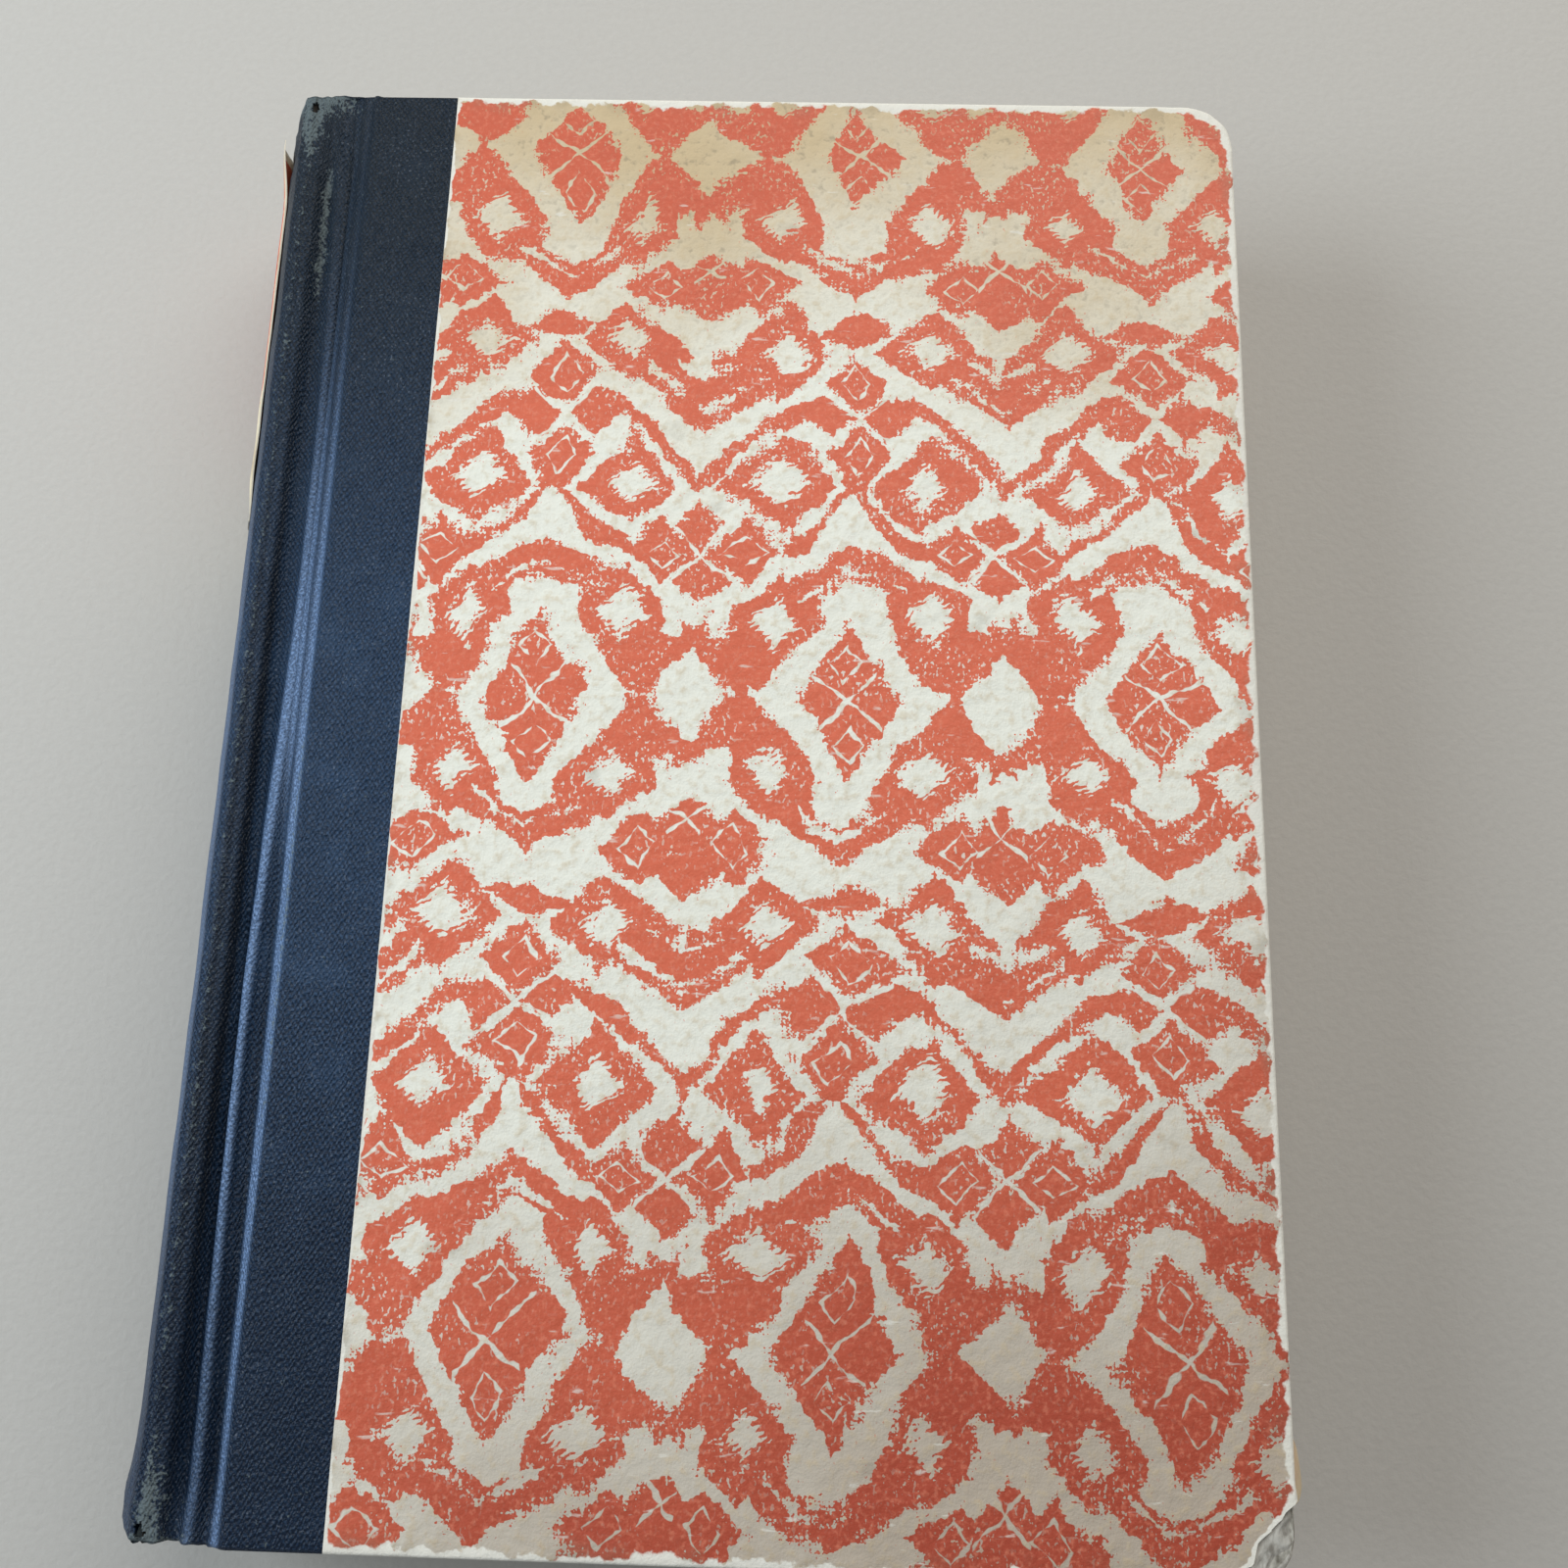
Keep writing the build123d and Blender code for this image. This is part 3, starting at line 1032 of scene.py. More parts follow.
@dataclass(frozen=True)
class LabelPaper:
    """A pasted paper label: one plain colour field, a pale border, rubbed and flaking towards its foot."""

    face: Colour = srgb(222, 112, 84)
    deep: Colour = srgb(198, 84, 60)
    border: Colour = srgb(232, 220, 190)
    core: Colour = srgb(236, 229, 211)
    soil_and_shade: Colour = srgb(176, 150, 116)

    def material(self) -> bpy.types.Material:
        """Build the material.

        Returns:
            A material that reads the label's flat place and its kept distance from the rim.
        """
        g = Graph("label_paper", flat=True)
        flat = g.kept("flat").outputs["Vector"]
        rim = Value(g, g.kept("rim").outputs["Fac"])
        _, v, _ = g.apart(flat)
        cloud = g.noise(flat, 6.0, 4.0)
        fibre = g.noise(flat, 0.5, 3.0)
        stroke = g.noise(g.scaled(flat, (1.0, 0.35, 1.0), 30.0), 2.6, 3.0)
        colour = g.mix(cloud.ease(0.35, 0.75) * 0.6 + fibre.ease(0.4, 0.7) * 0.3, self.face, self.deep)
        left = g.mix(cloud.ease(0.4, 0.7) * 0.5 + fibre.ease(0.5, 0.8) * 0.3, self.border, self.soil_and_shade)
        flaked = (stroke * 26 - v + (cloud - 0.5) * 16 + (fibre - 0.5) * 14).ease(-11.5, -9.5)
        flaked = flaked.most((stroke + fibre * 0.4).ease(0.86, 0.9))
        colour = g.mix(flaked, colour, left)
        colour = g.mix((rim - 1.6 + (fibre - 0.5) * 0.5).ease(0.0, -0.15) * 0.9, colour, left)
        colour = g.mix((rim + (cloud - 0.5) * 1.2).ease(0.45, 0.25), colour, self.core)
        colour = g.mix(g.noise(flat, 14.0, 4.0).ease(0.5, 0.75) * 0.35, colour, self.soil_and_shade)
        return g.surface(colour, 0.6 + cloud * 0.2, fibre * 0.6 + cloud * 0.4, 0.1, Specular_IOR_Level=0.3)


@dataclass(frozen=True)
class StudioFloor:
    """A plain pale floor with a faint tooth, which goes over into the backdrop."""

    tone: Colour = srgb(190, 188, 183)
    shade: Colour = srgb(168, 164, 158)
    fade: tuple[float, float] = (380.0, 1250.0)  # from the middle, over which it goes into the backdrop

    def material(self) -> bpy.types.Material:
        """Build the material.

        Returns:
            A plain material.
        """
        g = Graph("studio_floor")
        place = g.place()
        x, y, _ = g.apart(place)
        tooth = g.noise(place, 1.2, 3.0)
        colour = g.mix(tooth.ease(0.3, 0.7) * 0.12, self.tone, self.shade)
        g.surface(colour, 0.85, tooth, 0.1, Specular_IOR_Level=0.2)
        far = ((x * x + y * y) ** 0.5).ease(*self.fade)
        backdrop = g.node("ShaderNodeEmission", {}, {"Color": BACKDROP})
        both = g.node("ShaderNodeMixShader", {}, {
            0: far * g.shows_backdrop(), 1: g.shader.outputs[0], 2: backdrop.outputs[0]})
        g.feed(g.output, {"Surface": both.outputs[0]})
        return g.material


@dataclass(frozen=True)
class BookSizes:
    """Sizes that the pieces share, as in the CAD part. Heights are from the middle of the pages."""

    half_height: float = 105.0
    half_book: float = 17.0
    fore_edge: float = 74.45
    paper_edge: float = -45.95
    cloth_end: float = -42.95
    board_level: float = 14.1
    cloth: float = 0.35
    paper: float = 0.15
    turn_in: float = 15.0
    arc_x: float = -46.041
    spine_radius: float = 28.259
    stand_off: float = 1.0  # of the hollow back from its inlay
    tear: tuple[float, float] = (9.0, 10.5)  # of the front cover's tail corner, along its two edges


BOOK = BookSizes()


class FoldedLine:
    """A cross-section line of straight runs and round bends, read by the length along it."""

    def __init__(self, start: list[tuple[float, float]], corners: list[tuple[float, float, float]]) -> None:
        """Round the corners of a line.

        Args:
            start: Close points of a curve that the line begins with.
            corners: X, height and bend radius of each corner after it; the last is the end.
        """
        line = [np.array(p) for p in start]
        for (x, z, radius), after in zip(corners, corners[1:]):
            corner, before = np.array((x, z)), line[-1]
            arriving = (corner - before) / np.linalg.norm(corner - before)
            leaving = np.array(after[:2]) - corner
            leaving /= np.linalg.norm(leaving)
            turn = math.atan2(arriving[0] * leaving[1] - arriving[1] * leaving[0], arriving @ leaving)
            reach = min(radius * math.tan(abs(turn) / 2), 0.48 * np.linalg.norm(np.array(after[:2]) - corner),
                        0.9 * np.linalg.norm(corner - before))
            first, last = corner - arriving * reach, corner + leaving * reach
            for share in np.linspace(0, 1, 9):
                line.append((1 - share) ** 2 * first + 2 * share * (1 - share) * corner + share**2 * last)
        line.append(np.array(corners[-1][:2]))
        self.points = np.array(line)
        steps = np.linalg.norm(np.diff(self.points, axis=0), axis=1)
        self.length_at = np.concatenate(([0.0], np.cumsum(steps)))
        self.length = self.length_at[-1]

    def where(self, x: float) -> float:
        """The length along the line at which it passes an X."""
        return float(np.interp(x, self.points[:, 0], self.length_at))

    def at(self, along: np.ndarray) -> tuple[np.ndarray, np.ndarray]:
        """Where the line is, and which way is out of it.

        Args:
            along: Lengths along the line.

        Returns:
            Points and outward directions, as X and height, one row each.
        """
        def read(lengths: np.ndarray) -> np.ndarray:
            """The points at these lengths."""
            lengths = np.clip(lengths, 0, self.length)
            return rows_of(*(np.interp(lengths, self.length_at, self.points[:, k]) for k in (0, 1)))

        near = 0.12
        way = read(along + near) - read(along - near)
        way /= np.linalg.norm(way, axis=1)[:, None]
        return read(along), rows_of(-way[:, 1], way[:, 0])


@dataclass(frozen=True)
class Marks:
    """Lengths along the cloth's section at which it bends."""

    crest: float
    groove: float
    flat: float  # where the flat of the board begins


@dataclass
class ClothSide:
    """Half of the cloth: from the middle of the spine over a joint onto a board, with its ends turned in."""

    name: str
    body: Body
    side: int  # 1 for the upper half, -1 for the lower
    replaced: tuple[str, ...]
    columns: int = 118
    rows: int = 176
    end_rows: int = 9
    end_bend: float = 0.45
    inlay_angle: float = 34.55
    crest: tuple[float, float] = (-68.985, 15.05)
    crest_radius: float = 1.25
    crest_turn: tuple[float, float] = (145.0, 55.0)
    joint: tuple[tuple[float, float, float], ...] = (
        (-67.15, 16.0, 0.9),  # below the crest
        (-65.6, 13.6, 0.7),  # floor of the groove
        (-65.15, 13.5, 0.5),
        (-64.0, 14.85, 0.7),  # fold along the groove
        (-62.7, 15.1, 0.6),
        (-61.8, 13.8, 0.35),  # floor beside the board
        (-61.35, 13.75, 0.25),
        (-61.0, 14.6, 0.4),  # worn joint edge of the board
        (-58.8, 16.85, 1.0),
        (-42.95, 16.85, 0.0),
    )
    groove_x: float = -65.1
    floor_x: float = -61.85
    flat_x: float = -58.9
    onto_board: tuple[float, float] = (-61.5, -60.95)  # X over which the cloth comes onto the board
    board_inside: float = 13.75
    end_fold: tuple[float, float] = (0.8, 1.5)  # thickness of the folded ends in the joint and on the spine
    thinnest: float = 0.7
    tuck: float = 0.22  # of the cloth's ends, in under the paper
    fold_rise: tuple[float, float] = (-64.5, -63.0)  # X over which the fold in the groove rises
    fold_fall: tuple[float, float] = (-60.6, -62.3)  # and falls
    fold_fade: float = 0.45  # it is lower at the head by this much
    hollow: tuple[float, float, float, float] = (-63.6, -62.8, -60.6, -59.7)  # X, beside the board
    hollow_level: Triple = (14.9, -62.7, 0.35)  # height at an X and slope, where the fold lies on the board
    groove_fill: tuple[float, float] = (0.95, 0.55)  # how much the groove closes at the head and at the tail
    filled_level: float = 16.1
    spine_turn_in: float = 14.0
    joint_turn_in: float = 2.5
    holes: tuple[tuple[float, float, float, float], ...] = (
        (0.4, 103.2, 0.6, 0.95),  # from the crest, up the book, half width and half height
        (-0.5, -103.3, 0.75, 1.2),
    )
    turning: Triple = (-67.2, -61.1, 14.6)  # X where the joint begins and ends, and its height

    def section(self) -> FoldedLine:
        """The outer line of the cloth, from the middle of the spine to its end under the paper.

        Returns:
            The line of the upper half.
        """
        arc = [(BOOK.arc_x - BOOK.stand_off - BOOK.spine_radius * math.cos(math.radians(a)),
                BOOK.spine_radius * math.sin(math.radians(a))) for a in np.linspace(0, self.inlay_angle, 24)]
        bend = [(self.crest[0] + self.crest_radius * math.cos(math.radians(a)),
                 self.crest[1] + self.crest_radius * math.sin(math.radians(a)))
                for a in np.linspace(*self.crest_turn, 12)]
        return FoldedLine(arc + bend[1:], list(self.joint))

    def build(self, material: bpy.types.Material) -> bpy.types.Object:
        """Lay a flat strip of cloth over the spine, the joint and the board.

        Args:
            material: The cloth's finish.

        Returns:
            The piece, blended across its joint.
        """
        line = self.section()
        marks = Marks(*(line.where(x) for x in (self.crest[0], self.groove_x, self.flat_x)))
        rows = self.rows + 2 * self.end_rows
        piece = add_grid(self.name, (0, -rows / 2), (line.length, rows / 2), 0, self.columns, rows)
        flat = points_of(piece)
        along = flat[:, 0].copy()
        row = np.rint(flat[:, 1] + rows / 2).astype(int)

        # Rows run straight from tail to head, then round each end and back inside
        reach = BOOK.half_height - self.end_bend
        row_pitch = 2 * reach / self.rows
        y = -reach + np.clip(row - self.end_rows, 0, self.rows) * row_pitch
        floor_at = line.where(self.floor_x)
        wander = self.wander(y) * ease(along, marks.groove - 0.3, marks.groove + 1.5)
        wander = wander * ease(along, floor_at, floor_at - 1.5)
        at, out = line.at(along - wander)
        at[:, 0] += wander
        on_spine = ease(along, marks.crest + 3.0, marks.crest + 1.4)
        on_board = ease(along, *(line.where(x) for x in self.onto_board))
        past = np.maximum(np.maximum(self.end_rows - row, row - self.end_rows - self.rows), 0)
        step, depth = self.round_end(past, at[:, 1], on_spine, on_board)
        under = self.tuck * ease(at[:, 0], BOOK.paper_edge - 0.1, BOOK.paper_edge + 0.3)
        y = y + np.where(row > rows / 2, 1.0, -1.0) * (step - under)
        head, tail = ease(y, 70.0, 104.0), ease(y, -80.0, -104.0)
        y = self.draw_in(along, y, marks)
        self.close_groove(at, along, y, marks)

        # Depth under the outer line: radially in on the spine, straight down elsewhere
        down = rows_of(0 * along, -np.ones_like(along))
        inward = on_spine[:, None] * -out + (1 - on_spine[:, None]) * down
        at = at + inward * depth[:, None]

        # The fold is low at the head; the cloth is dented, bruised at its ends and flared at the tail
        in_fold = ease(at[:, 0] - wander, *self.fold_rise) * ease(at[:, 0], *self.fold_fall) * (depth == 0)
        at[:, 1] -= in_fold * self.fold_fade * ease(y, -20, 90)
        spread = rows_of(along, y, 0 * y + self.side * 40)
        dents = ripple(spread, 13.0) * 0.14 + ripple(spread, 4.5, 5.0) * 0.06
        dents *= 1 - on_board * 0.8
        flare = tail**3 * 0.8 * self.on_back(along, marks)
        bruise = head**2 * 0.35 * ripple(spread, 2.6, 9.0) * ease(along, marks.groove + 1, marks.crest)
        bruise = bruise + tail**4 * 0.4 * ripple(spread, 2.4, 11.0) * ease(along, marks.flat, marks.crest)
        at = at + out * (dents + flare + bruise)[:, None]

        note(piece, "flat", rows_of(along, flat[:, 1] * row_pitch, 0 * y) * MM)
        note(piece, "wear", self.wear(along, y, marks))
        # Painted highlight on the raised folds and painted shade in the hollows, kept for the finish
        note(piece, "painted_light", self.painted_light(line, along - wander, y, marks.crest))
        move_to(piece, rows_of(at[:, 0], y, BOOK.half_book + self.side * at[:, 1]))
        if self.side > 0:
            self.wear_through(piece, marks.crest)
        else:
            turn_over(piece)
        thicken(piece, BOOK.cloth)
        finish_piece(piece, material, angle=60.0)
        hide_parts(*self.replaced)
        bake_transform(piece)
        return piece

    def round_end(self, past: np.ndarray, level: np.ndarray, on_spine: np.ndarray,
                  on_board: np.ndarray) -> tuple[np.ndarray, np.ndarray]:
        """How the rows past an end go round it and back inside.

        Args:
            past: How many rows past the straight part a point is.
            level: Height of the outer line.
            on_spine: 1 on the spine, 0 off it.
            on_board: 1 on the board, 0 off it.

        Returns:
            How far points go past the straight part, and how deep they are under the outer line.
        """
        in_joint, over_spine = self.end_fold
        thickness = in_joint + (over_spine - in_joint) * on_spine
        thickness = np.maximum(thickness + on_board * (level - self.board_inside - in_joint), self.thinnest)
        turn_in = self.joint_turn_in + on_spine * (self.spine_turn_in - self.joint_turn_in)
        turn_in = turn_in + on_board * (BOOK.turn_in - self.joint_turn_in)
        bend = np.minimum(self.end_bend, thickness / 2)
        angle = np.radians(np.array([0, 30, 60, 90, 90, 30, 60, 90, 90, 90])[past])
        middle, inside = past == 4, past >= 8
        first, back = (past >= 1) & (past <= 4), (past >= 5) & (past <= 7)
        step = np.select([first, back, inside],
                         [bend * np.sin(angle), bend * np.cos(angle), -turn_in * (past - 7) / 2], 0.0)
        depth = np.select([middle, first, back, inside],
                          [thickness / 2, bend * (1 - np.cos(angle)), thickness - bend + bend * np.sin(angle),
                           thickness], 0.0)
        return step, depth

    @staticmethod
    def on_back(along: np.ndarray, marks: Marks) -> np.ndarray:
        """How far round on the spine points are: 0 at the crest, 1 on the back."""
        return ease(along, marks.crest + 0.5, marks.crest - 5.0)

    def draw_in(self, along: np.ndarray, y: np.ndarray, marks: Marks) -> np.ndarray:
        """Draw the ends in round the spine, and crumple them.

        Args:
            along: Length along the section.
            y: Place from tail to head.
            marks: Where the section bends.

        Returns:
            The new places from tail to head.
        """
        back = self.on_back(along, marks)
        in_joint = ease(along, marks.flat + 1.2, marks.flat - 0.8) * (1 - back)
        y = y - ease(y, 90.0, 105.0) * (2.6 * back**2 - 0.6 * in_joint)
        y = y + ease(y, -90.0, -105.0) * (0.5 * ease(along, marks.flat, marks.crest) + 1.2 * back**2)
        sheet = rows_of(along, y, 0 * y)
        crumple = ripple(sheet, 4.2, 3.0) * 0.35 + ripple(sheet, 1.5, 8.0) * 0.28
        return y + crumple * ease(abs(y), 98.0, 105.0) * ease(along, marks.flat + 2, marks.groove)

    def close_groove(self, at: np.ndarray, along: np.ndarray, y: np.ndarray, marks: Marks) -> None:
        """Close the groove towards both ends, and lay the fold against the board from the middle to the head.

        Args:
            at: X and height of each point, which are changed.
            along: Length along the section.
            y: Place from tail to head.
            marks: Where the section bends.
        """
        head, tail = self.groove_fill
        short = np.maximum(self.filled_level - at[:, 1], 0) * ease(along, marks.crest, marks.crest + 1.5)
        closing = head * (0.35 * ease(y, -10.0, 85.0) + 0.65 * ease(y, 86.0, 102.0))
        at[:, 1] += short * (closing + tail * ease(y, -97.0, -105.0))
        begin, full, last, end = self.hollow
        level, x, slope = self.hollow_level
        beside = ease(at[:, 0], begin, full) * ease(at[:, 0], end, last) * self.against_board(y)
        at[:, 1] += beside * np.maximum(level + (at[:, 0] - x) * slope - at[:, 1], 0)

    def wear(self, along: np.ndarray, y: np.ndarray, marks: Marks) -> np.ndarray:
        """How much the cloth is rubbed at each point.

        Args:
            along: Length along the section.
            y: Place from tail to head.
            marks: Where the section bends.

        Returns:
            From 0, sound, to 1, worn grey.
        """
        near_crest = bell(along, marks.crest + 0.4, 2.4)
        to_spine = ease(along, marks.flat + 0.5, marks.crest + 2.0)
        head = np.maximum(ease(y, 99.5, 104.6) * to_spine, ease(y, 91.5, 103.0) * near_crest)
        tail = np.maximum(ease(y, -102.5, -104.8) * to_spine, ease(y, -90.0, -104.0) * near_crest)
        crest = bell(along, marks.crest, 1.0)
        flank = ease(along, 7.0, marks.crest)
        meander = 0.9 * ripple(rows_of(y, 0 * y, 0 * y), 3.2, 2.0)
        streak = bell(along + meander, marks.groove - 0.8, 1.1) * ease(y, 66.0, 78.0) * ease(y, 95.0, 90.0)
        folds = bell(along, marks.flat - 0.9, 0.6) * (0.12 + 0.5 * bell(y, -24.0, 34.0))
        worn = head * 0.9 + tail * 0.8 + crest * 0.3 + flank * 0.1 + streak * 0.75 + folds
        return np.clip(worn, 0, 1)

    def painted_light(self, line: FoldedLine, along: np.ndarray, y: np.ndarray, crest_at: float) -> np.ndarray:
        """Painted highlight on the raised folds and the lower flank of the spine, and painted shade in the
        hollows between them, fainter towards the head and the tail.

        Args:
            line: The section.
            along: Length along the section.
            y: Place from tail to head.
            crest_at: Length at which the crest is.

        Returns:
            From -1, full painted shade, to 1, full painted highlight.
        """
        against = self.against_board(y)
        # Painted light bands: a painted highlight on each raised fold, and painted shade in each hollow
        folds = (  # X, width and strength, which is below 0 in a hollow
            (-63.5, 0.95, 0.85),
            (-60.0, 1.05, 1.5 - 0.6 * against),
            (-66.6, 1.0, -1.0),
            (-68.5, 1.2, -0.7),
            (-61.8, 0.35 + 0.8 * against, 1.3 * against - 0.5),
        )
        bands = sum(strength * bell(along, line.where(x), width) for x, width, strength in folds)
        # A painted highlight along the lower flank of the spine
        flank = 0.5 * ease(along, 0.0, crest_at - 3.0) * ease(along, crest_at - 0.8, crest_at - 3.4)
        return (bands + flank) * (1 - 0.82 * ease(y, 0.0, 85.0)) * (1 - 0.5 * ease(y, -45.0, -90.0))

    @staticmethod
    def against_board(y: np.ndarray) -> np.ndarray:
        """How closely the fold lies against the board, from tail to head."""
        return ease(y, -35.0, 10.0)

    @staticmethod
    def wander(y: np.ndarray) -> np.ndarray:
        """How far the fold along the groove strays towards the fore-edge, from tail to head."""
        return 1.9 * ease(y, -45.0, 30.0) - 0.2 - 0.7 * ease(y, -95.0, -50.0) - 0.9 * ease(y, 45.0, 95.0)

    def wear_through(self, piece: bpy.types.Object, crest_at: float) -> None:
        """Divide the cloth finely where it has worn through at the head and the tail; delete what is gone.

        Args:
            piece: The cloth.
            crest_at: Length at which the crest is.
        """
        with editing(piece):
            for near in (True, False):
                mesh = bmesh.from_edit_mesh(piece.data)
                flat = mesh.verts.layers.float_vector["flat"]
                for face in mesh.faces:
                    middle = face.calc_center_median() / MM
                    along = sum(v[flat].x for v in face.verts) / len(face.verts) / MM
                    uneven = 1.2 if near else 0.5 * noise.noise(Vector((along, middle.y, 0)) * 1.6)
                    face.select_set(middle.z > 30 and any(
                        math.hypot((along - crest_at - shift) / wide, (middle.y - y) / tall) < 1 + uneven
                        for shift, y, wide, tall in self.holes))
                bmesh.update_edit_mesh(piece.data)
                if near:
                    bpy.ops.mesh.subdivide(number_cuts=3)
                else:
                    bpy.ops.mesh.delete(type="FACE")


@dataclass
class SpineLabel:
    """The paper label on the spine, coming away along its front edge."""

    angle: float = 23.19
    top: float = 101.0
    height: float = 66.0
    columns: int = 44
    rows: int = 124
    bulge: float = 0.8  # air under the paper near its front edge
    lift: float = 1.5  # of the free corner at the head

    def build(self, material: bpy.types.Material) -> bpy.types.Object:
        """Lay a flat sheet round the spine and lift its loose side.

        Args:
            material: The label's finish.

        Returns:
            The piece, riding on the block.
        """
        radius = BOOK.spine_radius + BOOK.paper + BOOK.stand_off
        width = 2 * radius * math.radians(self.angle)
        piece = add_grid("spine_label_paper", (-width / 2, 0), (width / 2, self.height), 0,
                         self.columns, self.rows)
        flat = points_of(piece)
        share = flat[:, 0] / width + 0.5
        theta = flat[:, 0] / radius * (1 - 0.06 * ease(share, 0.5, 1.0))
        up = flat[:, 1]
        loose = ease(share, 0.35, 0.8) * (1 - 0.72 * ease(share, 0.86, 1.0))
        along = ease(up, 0.0, 9.0) * (0.8 + 0.2 * ripple(flat, 17.0, 2.0))
        peel = ease(up, self.height - 12.0, self.height) * ease(share, 0.7, 1.0)
        radial = radius + self.bulge * loose * along + self.lift * peel + 0.08 * ripple(flat, 6.0, 7.0)
        frayed = 0.35 * ripple(flat, 2.2, 4.0)
        ends = ease(up, 2.0, 0.0) - ease(up, self.height - 2, self.height)
        y = self.top - self.height + up + frayed * ends
        place = rows_of(BOOK.arc_x - radial * np.cos(theta), y, BOOK.half_book + radius * np.sin(theta))
        rim = np.minimum.reduce([flat[:, 0] + width / 2, width / 2 - flat[:, 0], up, self.height - up])
        note(piece, "flat", flat * MM)
        note(piece, "rim", rim)
        move_to(piece, place)
        thicken(piece, BOOK.paper)
        finish_piece(piece, material)
        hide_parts("spine_label")
        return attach(piece, Body.BLOCK.value)


@dataclass
class Cover:
    """One cover's printed paper over its board, with its rubbed corners and its tear."""

    name: str
    body: Body
    side: int
    head_corner: float
    tail_corner: float
    torn: bool
    columns: int = 112
    rows: int = 192
    edge_bend: float = 0.45
    swell: float = 0.11  # of the pasted paper over the board
    nick_y: float = -7.5  # of a nick in the fore-edge

    def rim_distance(self, x: np.ndarray, y: np.ndarray) -> np.ndarray:
        """How far points are inside the cover's outline.

        Args:
            x: Places across.
            y: Places up.

        Returns:
            The distance in millimetres.
        """
        across, up, radius = self.from_edges(x, y)
        corner = radius - np.hypot(np.maximum(radius - across, 0), np.maximum(radius - up, 0))
        return np.where((across < radius) & (up < radius), corner, np.minimum(across, up))

    def from_edges(self, x: np.ndarray, y: np.ndarray) -> tuple[np.ndarray, np.ndarray, np.ndarray]:
        """How far points are from the fore-edge and from the nearer end.

        Args:
            x: Places across.
            y: Places up.

        Returns:
            Both distances, and the radius of the corner at that end.
        """
        radius = np.where(y > 0, self.head_corner, self.tail_corner)
        return BOOK.fore_edge - x, BOOK.half_height - abs(y), radius

    def past_tear(self, x: np.ndarray, y: np.ndarray) -> np.ndarray:
        """How far points are on the sound side of the tear.

        Args:
            x: Places across.
            y: Places up.

        Returns:
            The distance in millimetres, below 0 where the paper is gone.
        """
        wide, tall = BOOK.tear
        gone = 1 - (BOOK.fore_edge - x) / wide - (BOOK.half_height + y) / tall
        return -gone * wide * tall / math.hypot(wide, tall)

    def build(self, material: bpy.types.Material) -> bpy.types.Object:
        """Cut the sheet, fold it round the board and give it its wear.

        Args:
            material: The printed paper's finish.

        Returns:
            The piece, riding on its cover.
        """
        level = BOOK.half_book
        piece = add_grid(f"{self.name}_printed_paper", (BOOK.paper_edge, -BOOK.half_height),
                         (BOOK.fore_edge, BOOK.half_height), level, self.columns, self.rows)
        self.round_corners(piece)
        with editing(piece, Element.EDGE):
            pick(piece, Element.EDGE, self.on_outline)
            wall = level - BOOK.board_level + BOOK.cloth + BOOK.paper
            for step in (wall / 2, wall / 2, 0.0):
                bpy.ops.mesh.extrude_edges_move(TRANSFORM_OT_translate={"value": (0, 0, -step * MM)})
        self.turn_in_inside(piece)
        with editing(piece, Element.EDGE):
            pick(piece, Element.EDGE, lambda p: self.on_outline(p) and abs(p.z - level) < CLOSE)
            bpy.ops.mesh.bevel(offset=self.edge_bend * MM, segments=3, affect="EDGES")
            bpy.ops.mesh.select_all(action="SELECT")
            bpy.ops.mesh.remove_doubles(threshold=0.02 * MM)
        if self.torn:
            self.tear_off(piece)
        self.relief(piece)
        with editing(piece):
            bpy.ops.mesh.select_all(action="SELECT")
            bpy.ops.mesh.normals_make_consistent(inside=False)
        self.face_out(piece)
        thicken(piece, BOOK.paper)
        finish_piece(piece, material, angle=50.0)
        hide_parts(f"{self.name}_side_paper")
        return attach(piece, self.body.value)

    def on_outline(self, p: Vector) -> bool:
        """Whether a point lies on the outer edge of the cover."""
        distance = self.rim_distance(np.array([p.x]), np.array([p.y]))[0]
        return bool(distance < 0.06 and p.x > BOOK.paper_edge + 0.2)

    def round_corners(self, piece: bpy.types.Object) -> None:
        """Push the two square corners of the sheet in onto the rubbed outline.

        Args:
            piece: The flat sheet.
        """
        points = points_of(piece)
        for end, radius in ((1, self.head_corner), (-1, self.tail_corner)):
            round_corner(points, BOOK.fore_edge, end * BOOK.half_height, radius)
        move_to(piece, points)

    def turn_in_inside(self, piece: bpy.types.Object) -> None:
        """Move the last extruded edges in over the inside of the board.

        Args:
            piece: The sheet, folded down.
        """
        points = points_of(piece)
        inner_x, inner_y = BOOK.fore_edge - BOOK.turn_in, BOOK.half_height - BOOK.turn_in
        order = np.nonzero(points[:, 2] < points[:, 2].min() + CLOSE)[0]
        last = np.zeros(len(points), bool)
        last[order[len(order) // 2:]] = True
        points[last, 0] = np.minimum(points[last, 0], inner_x)
        points[last, 1] = np.clip(points[last, 1], -inner_y, inner_y)
        move_to(piece, points)

    def tear_off(self, piece: bpy.types.Object) -> None:
        """Cut the torn corner away along an uneven line.

        Args:
            piece: The folded sheet.
        """
        wide, tall = BOOK.tear
        normal = Vector((tall, -wide, 0)).normalized()
        with editing(piece):
            bpy.ops.mesh.select_all(action="SELECT")
            bpy.ops.mesh.bisect(plane_co=((BOOK.fore_edge - wide) * MM, -BOOK.half_height * MM, 0),
                                plane_no=normal, clear_outer=True)
        points = points_of(piece)
        distance = self.past_tear(points[:, 0], points[:, 1])
        on_top = points[:, 2] > BOOK.half_book - 1
        near = ease(distance, 1.2, 0.0) * on_top
        uneven = near * (ripple(points, 2.1, 6.0) * 0.8 + ripple(points, 0.7, 1.0) * 0.25)
        points[:, 0] += normal.x * uneven
        points[:, 1] += normal.y * uneven
        points[:, 2] += ease(distance, 2.5, 0.0) * 0.16 * on_top
        move_to(piece, points)

